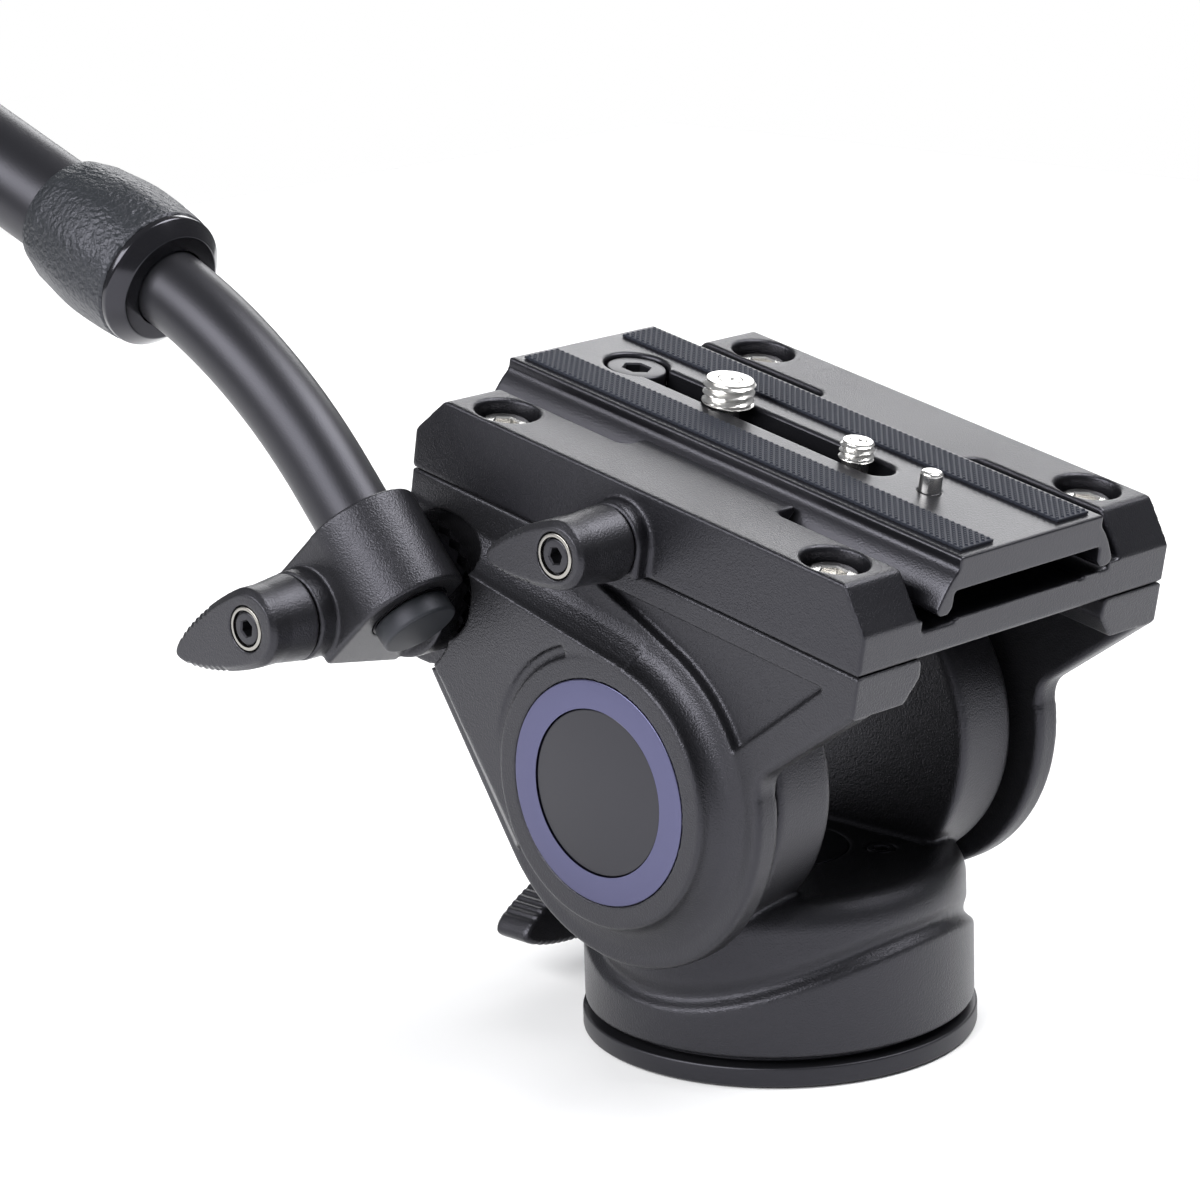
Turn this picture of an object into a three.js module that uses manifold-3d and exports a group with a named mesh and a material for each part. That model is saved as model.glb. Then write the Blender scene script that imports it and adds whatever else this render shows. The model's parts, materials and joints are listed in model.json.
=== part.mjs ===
// Fluid head for a video tripod, with a dovetail camera plate and a bent pan handle.
// Millimetres, +Z up, +X towards the lens, -Y the operator's right. The origin is the
// centre of the base's underside, on the pan axis. The head is posed nose-down.

import * as THREE from 'three';
import { mergeVertices } from 'three/addons/utils/BufferGeometryUtils.js';
import Module from 'manifold-3d';

const wasm = await Module();
wasm.setup();

// Shared fits, cuts and facet counts
const runningGap = 0.35;
const seatGap = 0.3;
const threadGap = 0.05;
const slipGap = 0.15;
const overrun = 1;
const bigFacets = 32;
const midFacets = 16;
const smallFacets = 8;
const boreFacets = 12;
const hexSides = 6;

// Base plate, thread bush and pan spindle
const baseRadius = 36.2;
const baseThickness = 3.6;
const baseChamfer = 0.6;
const baseStepInset = 3.6;
const baseStepRadius = baseRadius - baseStepInset;
const baseStepHeight = 2.2;
const baseTop = baseThickness + baseStepHeight;
const mountThreadRadius = 4.1;
const bushRadius = 8;
const bushFlangeRadius = 11;
const bushFlangeThickness = 1.8;
const bushRecess = 0.4;
const spindleFlangeRadius = 15;
const spindleFlangeThickness = 2.6;
const shaftStart = baseTop + spindleFlangeThickness;
const spindleRadius = 10;
const spindleStudRadius = 8;
const spindleStudLength = 4.2;
const spindleSocketHeight = 16;
const nutRadius = 11.4;
const nutThickness = 3.2;
const nutSlotWidth = 3;
const nutSlotDepth = 1.6;
const nutSlots = 4;

// Pan housing: the drum with its waved ridge, and two ears
const drumFloorGap = 1.4;
const drumBottom = baseThickness + drumFloorGap;
const drumInset = 0.5;
const drumStep = 1.3;
const drumCrownRun = 4.8;
const drumLowerRadius = baseRadius - drumInset;
const drumUpperRadius = drumLowerRadius - drumStep;
const floorRadius = drumUpperRadius - drumCrownRun;
const drumEdge = 0.5;
const ridgeHeight = 17.9;
const ridgeSwing = 5.2;
const ridgeTurn = 2;
const ridgeLobes = 2;
const ridgeLip = 1;
const valleyDepth = 0.7;
const valleyHeight = 1.7;
const valleyRun = 4.2;
const floorHeight = 33;
const drumCrownRise = 5.7;
const shoulderHeight = floorHeight - drumCrownRise;
const shoulderSteps = 3;
const drumColumns = 36;
const capRadius = 13;
const capThickness = 1.4;
const capSeatDepth = 8;
const capSeatHeight = floorHeight - capSeatDepth;
const bearingInnerRadius = 10.3;
const bearingThickness = 1.4;
const bearingGap = 0.4;
const spindleHeight = capSeatHeight + bearingThickness + bearingGap;
const flangeRoomGap = 1.2;
const shelfHeight = shaftStart + flangeRoomGap;
const floorScrewCircle = 19;
const floorScrewTurn = 35.7;
const floorScrewCount = 2;
const floorScrewRadius = 2.6;
const floorScrewDepth = 5;

// Side arms hang beside the drum, and the ears stand between them
const armDrumGap = 0.5;
const armThickness = 5.5;
const armInner = drumUpperRadius + armDrumGap;
const armOuter = armInner + armThickness;
const earArmGap = 3.5;
const earRadius = 29.7;
const earThickness = 13.8;
const earOuter = armInner - earArmGap;
const earInner = earOuter - earThickness;
const earEdge = 1.2;
const earPocketRadius = 20;
const earPocketDepth = 9;

// Drag cartridges and tilt axles inside the ears
const cartridgeThickness = 7.6;
const cartridgeEdge = 0.8;
const axleRadius = 8;
const axleBoltRadius = 3;
const axleBoltHeadRadius = 5.2;
const axleBoltHeadHeight = 3.4;
const axleBoltGrip = 8;

// Tilt cage: pose, side arms
const axisRise = 20.9;
const tiltAxisHeight = floorHeight + axisRise;
const tiltAtRest = 11.07;
const armRimRadius = 33.2;
const armEdge = 1.3;
const armHubRadius = 20;
const armFilletRadius = 5;
const armRearAngle = 224;
const flangeTop = 39.6;
const flangeFront = 49.4;
const flangeRear = 58.6;
const flangeThickness = 7.6;
const flangeUnder = flangeTop - flangeThickness;
const flangeWidth = 15.8;
const flangeInner = armOuter - flangeWidth;
const flangeTipDrop = 3.3;
const flangeTipRun = 2.9;
const slopeAngle = 45;

// Boss round the axle, and the land that runs back from it to the rosette
const bossRise = 5.4;
const bossFace = armOuter + bossRise;
const bossTopRadius = 24.6;
const bossCoveRadius = 26.2;
const bossFootRadius = 29.8;
const bossCoveShare = 0.42;
const bossEdge = 0.5;
const landCrestAngle = 85;
const landFootReach = 26.6;
const landFootRun = 4.2;
const landFootDrop = 2.2;

// Triangular recess ahead of the boss, and the groove behind it
const panelSink = 2;
const panelFloor = armOuter - panelSink;
const panelTopGap = 4.7;
const panelTop = flangeTop - panelTopGap;
const panelFrontGap = 7.8;
const panelFront = flangeFront - panelFrontGap;
const panelArcFrom = 34.5;
const panelArcTo = 73;
const panelArcRadius = 30;
const panelMiddleReach = 8;
const panelSlopeShare = 0.14;
const crescentWidth = 1.6;
const crescentDepth = 1.4;
const crescentRadius = bossTopRadius + crescentWidth / 2;
const crescentFrom = 122;
const crescentTo = 205;

// Rosettes that hold the handle, one on each arm
const rosetteInset = 3;
const rosetteBack = flangeRear - rosetteInset;
const rosetteUp = 17.75;
const rosettePadRadius = 15.6;
const rosetteWallHeight = 3.5;
const rosetteFace = armInner + rosetteWallHeight;
const rosetteRadius = 12.8;
const rosetteCoreRadius = 5;
const recessRunRadius = 11.6;
const recessRunAhead = 8.3;
const recessRunUp = 5.2;
const toothCount = 24;
const toothHeight = 1.2;

// Trim ring and centre cap on each arm
const ringOuterRadius = 20.26;
const ringInnerRadius = 15.02;
const ringDepth = 1.6;
const capFaceInset = 0.25;
const centreCapDepth = 2.2;

// Top block that holds the camera plate
const blockHalfWidth = armOuter;
const blockEdge = 0.7;
const blockRise = 14.7;
const railTop = flangeTop + blockRise;
const blockChamferDrop = 7.3;
const blockChamferLow = railTop - blockChamferDrop;
const blockFrontRun = 5.5;
const blockRearRun = 6.4;
const grooveSeat = 5.1;
const channelSeat = 5.7;
const ledgeSeat = 6.2;
const grooveFloor = flangeTop + grooveSeat;
const channelFloor = flangeTop + channelSeat;
const farLedge = flangeTop + ledgeSeat;
const raisedFloorHalf = 17.4;
const channelHalf = 25.6;
const railWallFoot = 2.1;
const wallFoot = grooveFloor + railWallFoot;
const railLip = 1.2;
const overhangLip = railTop - railLip;
const railOverhang = 21;
const farOverhang = 20;
const farChannelHalf = 23.9;
const cutBackHalf = 26.7;
const nearCutFront = 15.2;
const nearCutRear = 20.6;
const cutBackRound = 2.4;
const blockScrewFrontInset = 13.95;
const blockScrewRearInset = 15.45;
const blockScrewSideInset = 6.95;
const blockScrewSide = blockHalfWidth - blockScrewSideInset;
const counterboreRadius = 5.8;
const counterboreDepth = 5.7;
const counterboreFloor = railTop - counterboreDepth;
const blockScrewHeadRadius = 4.3;
const blockScrewHeadHeight = 3.6;
const blockScrewRadius = 2.5;
const blockScrewGrip = 5.4;
const blockScrewEnd = flangeTop - blockScrewGrip;
const socketShare = 0.55;
const socketDepthShare = 0.6;

// Camera plate with its rubber strips, screws and pin
const plateFront = 50.2;
const plateRear = 58.4;
const plateLift = 1.7;
const plateHeight = 9.9;
const plateDeckThickness = 5.9;
const plateFootUnder = channelFloor + plateLift;
const plateTop = plateFootUnder + plateHeight;
const plateDeckUnder = plateTop - plateDeckThickness;
const plateTopHalf = 18.9;
const plateFootOuter = 23.2;
const plateFootThickness = 3.9;
const plateFootInner = plateFootOuter - plateFootThickness;
const plateSideHeight = 1.9;
const flankTop = plateTop - plateSideHeight;
const flankDepthShares = [[0.19, 0.25], [0.55, 0.55], [1, 1]];
const footLipHeight = 1.2;
const footLipInset = 1;
const plateEndInset = 2;
const stripInner = 8.5;
const stripEdgeInset = 2;
const stripOuter = plateTopHalf - stripEdgeInset;
const stripThickness = 0.8;
const counterborePlateX = 44.2;
const counterborePlateRadius = 6;
const counterborePlateDepth = 3.6;
const stopScrewRadius = 5.5;
const stopScrewInset = 0.6;
const stopScrewHexRadius = 2.6;
const slotHalf = 3.3;
const slotFront = 14.4;
const largeScrewX = -21.4;
const largeThreadRadius = 4.76;
const largeScrewRise = 4.7;
const smallScrewX = 9.6;
const smallThreadRadius = 3.17;
const smallScrewRise = 3.5;
const screwNeckRadius = 2.4;
const screwHeadRadius = 7.2;
const screwHeadThickness = 2.2;
const washerThickness = 0.8;
const washerHalfLength = 7;
const washerHalfWidth = 7.6;
const threadPitch = 1.5;
const threadDepthShare = 0.14;
const pinX = 26.7;
const pinRadius = 2;
const pinRise = 3.7;
const pinTop = plateTop + pinRise;
const pinTipChamfer = 0.5;

// Plate lock: an arched boss on the block, and a jaw in the rail
const plateKnobX = 6.1;
const plateKnobRise = 5;
const plateKnobUp = flangeTop + plateKnobRise;
const plateBossRadius = 7;
const plateBossLength = 3.2;
const plateBossEnd = blockHalfWidth + plateBossLength;
const jawHalfLength = 9;
const jawThickness = 9.9;
const jawHeight = 6.2;
const jawFloorGap = 0.4;
const jawStandoff = 1.5;
const jawLeanShare = 0.63;
const jawTopReach = plateFootOuter + jawStandoff - (jawLeanShare * jawHeight) / 2;
const jawFootReach = plateFootOuter + jawStandoff + (jawLeanShare * jawHeight) / 2;
const jawBack = jawTopReach + jawThickness;

// Wing knobs: two sizes, each with a ring and a socket bolt
const wingThickness = 9.2;
const wingFaceEdge = 1.1;
const wingTaper = 0.7;
const wingFullnessPower = 1.6;
const wingRoundingPower = 0.6;
const wingTipShare = 0.985;
const wingSteps = 8;
const wingRibFrom = 4;
const wingRibHeight = 0.3;
const knobRingOuter = 4.1;
const knobRingInner = 3.3;
const knobRingDepth = 0.9;
const knobBoltRadius = 3;
const knobBoltInset = 0.25;
const knobHexRadius = 1.5;
const largeKnobRadius = 7.2;
const largeKnobReach = 22.2;
const smallKnobRadius = 6.1;
const smallKnobReach = 18;

// Pan lock on the back of the drum
const panKnobHeight = 14.5;
const panKnobDrop = 10;
const panBossRadius = 9;
const panBossLength = 2.9;
const panBossEnd = drumLowerRadius + panBossLength;
const panHubLength = 5;
const shoeRadius = 5;
const shoeLength = 4;

// Tilt lock on the left arm
const tiltKnobBack = 28.2;
const tiltKnobTurn = 205;
const tiltHubLength = 4;
const tiltBossRadius = 7;
const tiltBossRise = 1.4;
const tiltBossEnd = bossFace + tiltBossRise;
const tiltBoltGap = 0.9;

// Plate lock knob
const plateHubLength = 3.6;
const plateKnobTurn = 200;

// Handle clamp and its knob
const handleAtRest = 37.06;
const clampArmRun = 16.1;
const clampTubeSide = rosetteFace + clampArmRun;
const clampTubeOffset = 11;
const clampTubeRadius = 11;
const clampHalfLength = 9.55;
const clampBossRadius = 8.1;
const clampBossLength = 3.9;
const clampBossEnd = clampTubeSide + clampTubeRadius + clampBossLength;
const clampDiscThickness = 6;
const clampDiscEnd = rosetteFace + clampDiscThickness;
const clampWebDrop = 3;
const clampWebRootDrop = 10.2;
const clampEdge = 0.5;
const clampRecessGap = 0.6;
const clampKnobTurn = 250;
const clampHubLength = 1.2;
const clampBoltPast = 1.9;
const clampBoltEnd = armInner - clampBoltPast;

// Handle tubes
const tubeRadius = 7.3;
const tubeWall = 1.2;
const tubeFacets = 16;
const bendAngle = 27.7;
const bendCorner = 47.3;
const bendRadius = 115;
const bendSteps = 5;
const collarReach = 25.2;
const innerTubeReach = 180;
const plugProud = 4.1;
const plugHeadInset = 0.2;
const plugEdge = 0.5;
const plugDepth = 8;
const collarRadius = 13;
const collarChamfer = 2.6;
const collarLength = 3.9;
const collarStub = 6;
const sleeveFrontRadius = 13.3;
const sleeveMiddleRadius = 13.8;
const sleeveRearRadius = 11.4;
const sleeveLength = 26.5;
const sleeveMiddleShare = 0.42;
const sleeveShoulderShare = 0.75;
const outerTubeRadius = 9.5;
const collarStubRadius = 10.2;
const outerTubeWall = 1.4;
const outerTubeEnd = 205;
const colletLength = 14;
const colletRadius = 9.9;
const gripFrom = 88;
const gripRadius = 14;
const gripWaistRadius = 12.8;
const gripEdge = 2.5;
const endCapRadius = 13;
const endCapThickness = 4.5;
const endCapPlug = 6;

// Surfaces
const surface = (color, roughness, metalness) =>
  new THREE.MeshStandardMaterial({ color, roughness, metalness });
const castBlack = () => surface(0x26262a, 0.55, 0.3);
const blockBlack = () => surface(0x222226, 0.48, 0.35);
const satinBlack = () => surface(0x1c1c20, 0.35, 0.5);
const glossBlack = () => surface(0x121215, 0.2, 0.4);
const rubberGrey = () => surface(0x2b3038, 0.85, 0);
const rubberBlack = () => surface(0x27282b, 0.9, 0);
const violetMetal = () => surface(0x5c5a86, 0.3, 0.85);
const steel = () => surface(0xc9c8c4, 0.25, 1);
const blackSteel = () => surface(0x2a2a2c, 0.4, 0.9);
const brass = () => surface(0xb08d4a, 0.4, 0.9);
const nylon = () => surface(0xd8d6cf, 0.6, 0);

const radians = THREE.MathUtils.degToRad;

// Closed bodies and how they join and cut

function signedVolume(positions, index) {
  let total = 0;
  const corner = [new THREE.Vector3(), new THREE.Vector3(), new THREE.Vector3()];
  for (let i = 0; i < index.length; i += 3) {
    corner.forEach((point, k) => point.fromArray(positions, index[i + k] * 3));
    total += corner[0].dot(corner[1].clone().cross(corner[2]));
  }
  return total;
}

function solid(geometry) {
  const bare = geometry.clone();
  bare.deleteAttribute('normal');
  bare.deleteAttribute('uv');
  const merged = mergeVertices(bare);
  const positions = new Float32Array(merged.attributes.position.array);
  const triangles = new Uint32Array(merged.index.array);
  if (signedVolume(positions, triangles) < 0) {
    triangles.reverse();
  }
  return new wasm.Manifold(new wasm.Mesh({ numProp: 3, vertProperties: positions, triVerts: triangles }));
}

const join = (...bodies) => bodies.reduce((whole, body) => whole.add(body));
const cut = (body, ...tools) => tools.reduce((left, tool) => left.subtract(tool), body);
const common = (...bodies) => bodies.reduce((whole, body) => whole.intersect(body));

function meshOf(name, body, material) {
  const result = body.getMesh();
  const geometry = new THREE.BufferGeometry();
  geometry.setAttribute('position', new THREE.BufferAttribute(Float32Array.from(result.vertProperties), 3));
  geometry.setIndex(new THREE.BufferAttribute(Uint32Array.from(result.triVerts), 1));
  geometry.computeVertexNormals();
  const mesh = new THREE.Mesh(geometry, material);
  mesh.name = name;
  return mesh;
}

// Profiles and outlines

function arc(centreX, centreY, radius, fromDegrees, toDegrees, steps) {
  return Array.from({ length: steps + 1 }, (_, i) => {
    const angle = radians(fromDegrees + ((toDegrees - fromDegrees) * i) / steps);
    return [centreX + radius * Math.cos(angle), centreY + radius * Math.sin(angle)];
  });
}

const polar = (radius, degrees) => {
  const turn = radians(degrees);
  return [radius * Math.cos(turn), radius * Math.sin(turn)];
};

function shapeOf(points, holes = []) {
  const shape = new THREE.Shape(points.map(([x, y]) => new THREE.Vector2(x, y)));
  shape.holes = holes.map((hole) => new THREE.Path(hole.map(([x, y]) => new THREE.Vector2(x, y))));
  return shape;
}

// A profile of [radius, height] pairs turned about +Z
function revolve(profile, facets) {
  const points = profile.map(([radius, height]) => new THREE.Vector2(radius, height));
  const first = points[0];
  const last = points[points.length - 1];
  if (first.x > 0 || last.x > 0) {
    points.push(first.clone());
  }
  const geometry = new THREE.LatheGeometry(points, facets);
  geometry.rotateX(Math.PI / 2);
  return geometry;
}

function rod(radius, low, high, facets) {
  return revolve([[0, low], [radius, low], [radius, high], [0, high]], facets);
}

function chamferedRod(radius, low, high, edge, facets) {
  const profile = [[0, low], [radius, low], [radius, high - edge], [radius - edge, high], [0, high]];
  return revolve(profile, facets);
}

function tubeRing(inner, outer, low, high, facets) {
  return revolve([[inner, low], [outer, low], [outer, high], [inner, high]], facets);
}

// An outline raised along +Z between two levels, with sloped edges if asked
function raise(points, low, high, bevelWidth = 0, bevelDepth = 0) {
  const options = { depth: high - low - 2 * bevelDepth, bevelEnabled: bevelWidth > 0, curveSegments: 1 };
  if (bevelWidth > 0) {
    Object.assign(options, {
      bevelThickness: bevelDepth,
      bevelSize: bevelWidth,
      bevelOffset: -bevelWidth,
      bevelSegments: 1,
    });
  }
  const geometry = new THREE.ExtrudeGeometry(shapeOf(points), options);
  geometry.translate(0, 0, low + bevelDepth);
  return geometry;
}

// A closed body through outlines of [x, y, z] points, from the lowest outline to the highest
function loft(outlines) {
  const count = outlines[0].length;
  const flat = outlines[0].map(([x, y]) => new THREE.Vector2(x, y));
  const cap = THREE.ShapeUtils.triangulateShape(flat, []);
  const top = count * (outlines.length - 1);
  const triangles = cap.flatMap(([a, b, c]) => [a, c, b, a + top, b + top, c + top]);
  const clockwise = THREE.ShapeUtils.isClockWise(flat);
  for (let ring = 0; ring < top; ring += count) {
    for (let i = 0; i < count; i += 1) {
      const here = ring + i;
      const next = ring + ((i + 1) % count);
      const side = [here, next, next + count, here, next + count, here + count];
      triangles.push(...(clockwise ? side.reverse() : side));
    }
  }
  const geometry = new THREE.BufferGeometry();
  geometry.setAttribute('position', new THREE.Float32BufferAttribute(outlines.flat(2), 3));
  geometry.setIndex(triangles);
  return geometry;
}

const atLevel = (points, level) => points.map(([x, y]) => [x, y, level]);

// Turns a shape made along +Z: to point at the right side, the left side, or forward
const toRight = (geometry) => geometry.rotateX(Math.PI / 2);
const toFront = (geometry) => geometry.rotateX(Math.PI / 2).rotateZ(Math.PI / 2);
const toBack = (geometry) => geometry.rotateY(-Math.PI / 2);
const placed = (geometry, x, y, z) => geometry.translate(x, y, z);

// A box between two corners
function block(x0, x1, y0, y1, z0, z1) {
  const geometry = new THREE.BoxGeometry(x1 - x0, y1 - y0, z1 - z0);
  return geometry.translate((x0 + x1) / 2, (y0 + y1) / 2, (z0 + z1) / 2);
}

function mirroredBody(body) {
  const result = body.getMesh();
  const geometry = new THREE.BufferGeometry();
  geometry.setAttribute('position', new THREE.BufferAttribute(Float32Array.from(result.vertProperties), 3));
  geometry.setIndex(new THREE.BufferAttribute(Uint32Array.from(result.triVerts), 1));
  geometry.scale(1, -1, 1);
  return solid(geometry);
}

// Base: plate, thread bush, spindle and nut

function basePlate() {
  const plate = revolve(
    [
      [0, 0],
      [baseRadius - baseChamfer, 0],
      [baseRadius, baseChamfer],
      [baseRadius, baseThickness - baseChamfer],
      [baseRadius - baseChamfer, baseThickness],
      [baseStepRadius, baseThickness],
      [baseStepRadius, baseTop],
      [0, baseTop],
    ],
    bigFacets,
  );
  const bore = rod(bushRadius + threadGap, -overrun, baseTop + overrun, boreFacets);
  const flangeTopLevel = bushRecess + bushFlangeThickness;
  const flangeSeat = rod(bushFlangeRadius + threadGap, -overrun, flangeTopLevel, boreFacets);
  return cut(solid(plate), solid(bore), solid(flangeSeat));
}

function threadBush() {
  const flangeTopLevel = bushRecess + bushFlangeThickness - threadGap;
  return solid(
    revolve(
      [
        [mountThreadRadius, bushRecess],
        [bushFlangeRadius, bushRecess],
        [bushFlangeRadius, flangeTopLevel],
        [bushRadius, flangeTopLevel],
        [bushRadius, baseTop - threadGap],
        [mountThreadRadius, baseTop - threadGap],
      ],
      boreFacets,
    ),
  );
}

function panSpindle() {
  const flangeTopLevel = shaftStart;
  const socketRadius = mountThreadRadius + seatGap;
  const post = revolve(
    [
      [socketRadius, baseTop],
      [spindleFlangeRadius, baseTop],
      [spindleFlangeRadius, flangeTopLevel],
      [spindleRadius, flangeTopLevel],
      [spindleRadius, spindleHeight],
      [spindleStudRadius, spindleHeight],
      [spindleStudRadius, spindleHeight + spindleStudLength],
      [0, spindleHeight + spindleStudLength],
      [0, spindleSocketHeight],
      [socketRadius, spindleSocketHeight],
    ],
    midFacets,
  );
  return solid(post);
}

function spindleNut() {
  const low = spindleHeight + threadGap;
  const bore = spindleStudRadius + threadGap;
  const ring = solid(tubeRing(bore, nutRadius, low, low + nutThickness, midFacets));
  const slots = Array.from({ length: nutSlots }, (_, i) => {
    const slot = block(
      nutRadius - nutSlotDepth,
      nutRadius + overrun,
      -nutSlotWidth / 2,
      nutSlotWidth / 2,
      low - overrun,
      low + nutThickness + overrun,
    );
    return solid(slot.rotateZ((i * 2 * Math.PI) / nutSlots));
  });
  return cut(ring, ...slots);
}

// Pan housing

// The ridge round the drum rises and falls with the turn angle
function ridgeAt(angle) {
  return ridgeHeight + ridgeSwing * Math.cos(ridgeLobes * (angle - radians(ridgeTurn)));
}

// The drum's side at one turn angle, from the bottom edge to the floor's edge
function drumSide(angle) {
  const ridge = ridgeAt(angle);
  const side = [
    [drumLowerRadius - drumEdge, drumBottom],
    [drumLowerRadius, drumBottom + drumEdge],
    [drumLowerRadius, ridge - ridgeLip],
    [drumLowerRadius - drumEdge, ridge],
    [drumUpperRadius - valleyDepth, ridge + valleyHeight],
    [drumUpperRadius, Math.min(ridge + valleyRun, shoulderHeight - drumEdge)],
  ];
  for (let i = 0; i <= shoulderSteps; i += 1) {
    const turn = (Math.PI / 2) * (i / shoulderSteps);
    side.push([
      floorRadius + (drumUpperRadius - floorRadius) * Math.cos(turn),
      shoulderHeight + (floorHeight - shoulderHeight) * Math.sin(turn),
    ]);
  }
  return side;
}

function drumSkin() {
  const vertices = [];
  const triangles = [];
  const rows = drumSide(0).length;
  for (let column = 0; column < drumColumns; column += 1) {
    const angle = (2 * Math.PI * column) / drumColumns;
    drumSide(angle).forEach(([radius, height]) => {
      vertices.push(radius * Math.cos(angle), radius * Math.sin(angle), height);
    });
  }
  const bottomCentre = vertices.push(0, 0, drumBottom) / 3 - 1;
  const topCentre = vertices.push(0, 0, floorHeight) / 3 - 1;
  for (let column = 0; column < drumColumns; column += 1) {
    const here = column * rows;
    const next = ((column + 1) % drumColumns) * rows;
    for (let row = 0; row < rows - 1; row += 1) {
      triangles.push(here + row, next + row, next + row + 1);
      triangles.push(here + row, next + row + 1, here + row + 1);
    }
    triangles.push(bottomCentre, next, here);
    triangles.push(topCentre, here + rows - 1, next + rows - 1);
  }
  const geometry = new THREE.BufferGeometry();
  geometry.setAttribute('position', new THREE.Float32BufferAttribute(vertices, 3));
  geometry.setIndex(triangles);
  return geometry;
}

// One ear, pointing right, with the pocket that holds its drag cartridge
function ear() {
  const disc = revolve(
    [
      [0, earInner],
      [earRadius - earEdge, earInner],
      [earRadius, earInner + earEdge],
      [earRadius, earOuter - earEdge],
      [earRadius - earEdge, earOuter],
      [0, earOuter],
    ],
    bigFacets,
  );
  return solid(placed(toRight(disc), 0, 0, tiltAxisHeight));
}

function earPocket() {
  const pocket = rod(earPocketRadius, earOuter - earPocketDepth, earOuter + overrun, midFacets);
  return solid(placed(toRight(pocket), 0, 0, tiltAxisHeight));
}

function panHousing() {
  const bossRod = toBack(rod(panBossRadius, floorRadius, panBossEnd, smallFacets));
  const boss = solid(placed(bossRod, 0, 0, panKnobHeight));
  const rightEar = ear();
  const shell = join(solid(drumSkin()), boss, rightEar, mirroredBody(rightEar));
  const stepRecess = rod(baseStepRadius + runningGap, -overrun, baseTop + runningGap, bigFacets);
  const flangeRoom = rod(spindleFlangeRadius + runningGap, 0, shelfHeight, midFacets);
  const spindleBore = rod(spindleRadius + runningGap, 0, floorHeight + overrun, midFacets);
  const nutRoom = rod(nutRadius + runningGap, capSeatHeight, floorHeight, midFacets);
  const capRoom = rod(capRadius + threadGap, floorHeight - capThickness, floorHeight + overrun, midFacets);
  const shoeReach = spindleRadius + shoeLength + 2 * runningGap;
  const shoeRoom = toBack(rod(shoeRadius + threadGap, 0, shoeReach, smallFacets));
  const boltHole = toBack(rod(knobBoltRadius + seatGap, 0, panBossEnd + overrun, boreFacets));
  const holes = floorScrewPlaces().map(([x, y]) => {
    const low = floorHeight - floorScrewDepth;
    const hole = rod(floorScrewRadius + threadGap, low, floorHeight + overrun, smallFacets);
    return solid(placed(hole, x, y, 0));
  });
  return cut(
    shell,
    solid(stepRecess),
    solid(flangeRoom),
    solid(spindleBore),
    solid(nutRoom),
    solid(capRoom),
    solid(placed(shoeRoom, 0, 0, panKnobHeight)),
    solid(placed(boltHole, 0, 0, panKnobHeight)),
    earPocket(),
    mirroredBody(earPocket()),
    ...holes,
  );
}

function floorScrewPlaces() {
  return Array.from({ length: floorScrewCount }, (_, i) => polar(
    floorScrewCircle,
    floorScrewTurn + (360 * i) / floorScrewCount,
  ));
}

function panCap() {
  const low = floorHeight - capThickness + threadGap;
  return solid(chamferedRod(capRadius, low, floorHeight, drumEdge / 2, midFacets));
}

function panBearing() {
  const low = capSeatHeight + threadGap;
  return solid(tubeRing(bearingInnerRadius, nutRadius, low, low + bearingThickness, midFacets));
}

function floorScrew() {
  const low = floorHeight - floorScrewDepth + threadGap;
  const high = floorHeight - threadGap;
  return socketScrewHead(floorScrewRadius, low, high);
}

// A round head with a hexagonal socket in its top
function socketScrewHead(radius, low, high) {
  const depth = (high - low) * socketDepthShare;
  const socket = rod(radius * socketShare, high - depth, high + overrun, hexSides);
  return cut(solid(rod(radius, low, high, smallFacets)), solid(socket));
}

function brakeShoe() {
  const near = spindleRadius - overrun;
  const far = spindleRadius + runningGap + shoeLength;
  const plug = solid(placed(toBack(rod(shoeRadius, near, far, smallFacets)), 0, 0, panKnobHeight));
  const clearance = rod(spindleRadius + runningGap, 0, floorHeight, midFacets);
  return cut(plug, solid(clearance));
}

function dragCartridge() {
  const inner = earOuter - earPocketDepth + seatGap;
  const outer = inner + cartridgeThickness;
  const radius = earPocketRadius - threadGap;
  const ring = revolve(
    [
      [axleRadius + runningGap, inner],
      [radius, inner],
      [radius, outer - cartridgeEdge],
      [radius - cartridgeEdge, outer],
      [axleRadius + runningGap, outer],
    ],
    midFacets,
  );
  return solid(placed(toRight(ring), 0, 0, tiltAxisHeight));
}

// Wing knobs. A knob is made along +Z: the hub starts at zero, the wing points along +X.

// Half the wing's width at a share of its reach: full at the hub, rounded to a narrow tip
function wingHalfWidth(radius, share) {
  return radius * (1 - share ** wingFullnessPower) ** wingRoundingPower;
}

// The leaf-shaped outline, with shallow finger ribs towards the tip
function wingOutline(radius, reach) {
  const flank = Array.from({ length: wingSteps }, (_, i) => {
    const share = (wingTipShare * (i + 1)) / wingSteps;
    const rib = i >= wingRibFrom && i % 2 === 0 ? wingRibHeight : 0;
    return [reach * share, wingHalfWidth(radius, share) - rib];
  });
  const hub = arc(0, 0, radius, 90, 270, smallFacets);
  return [...hub, ...flank.map(([x, y]) => [x, -y]), ...flank.reverse()];
}

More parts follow.
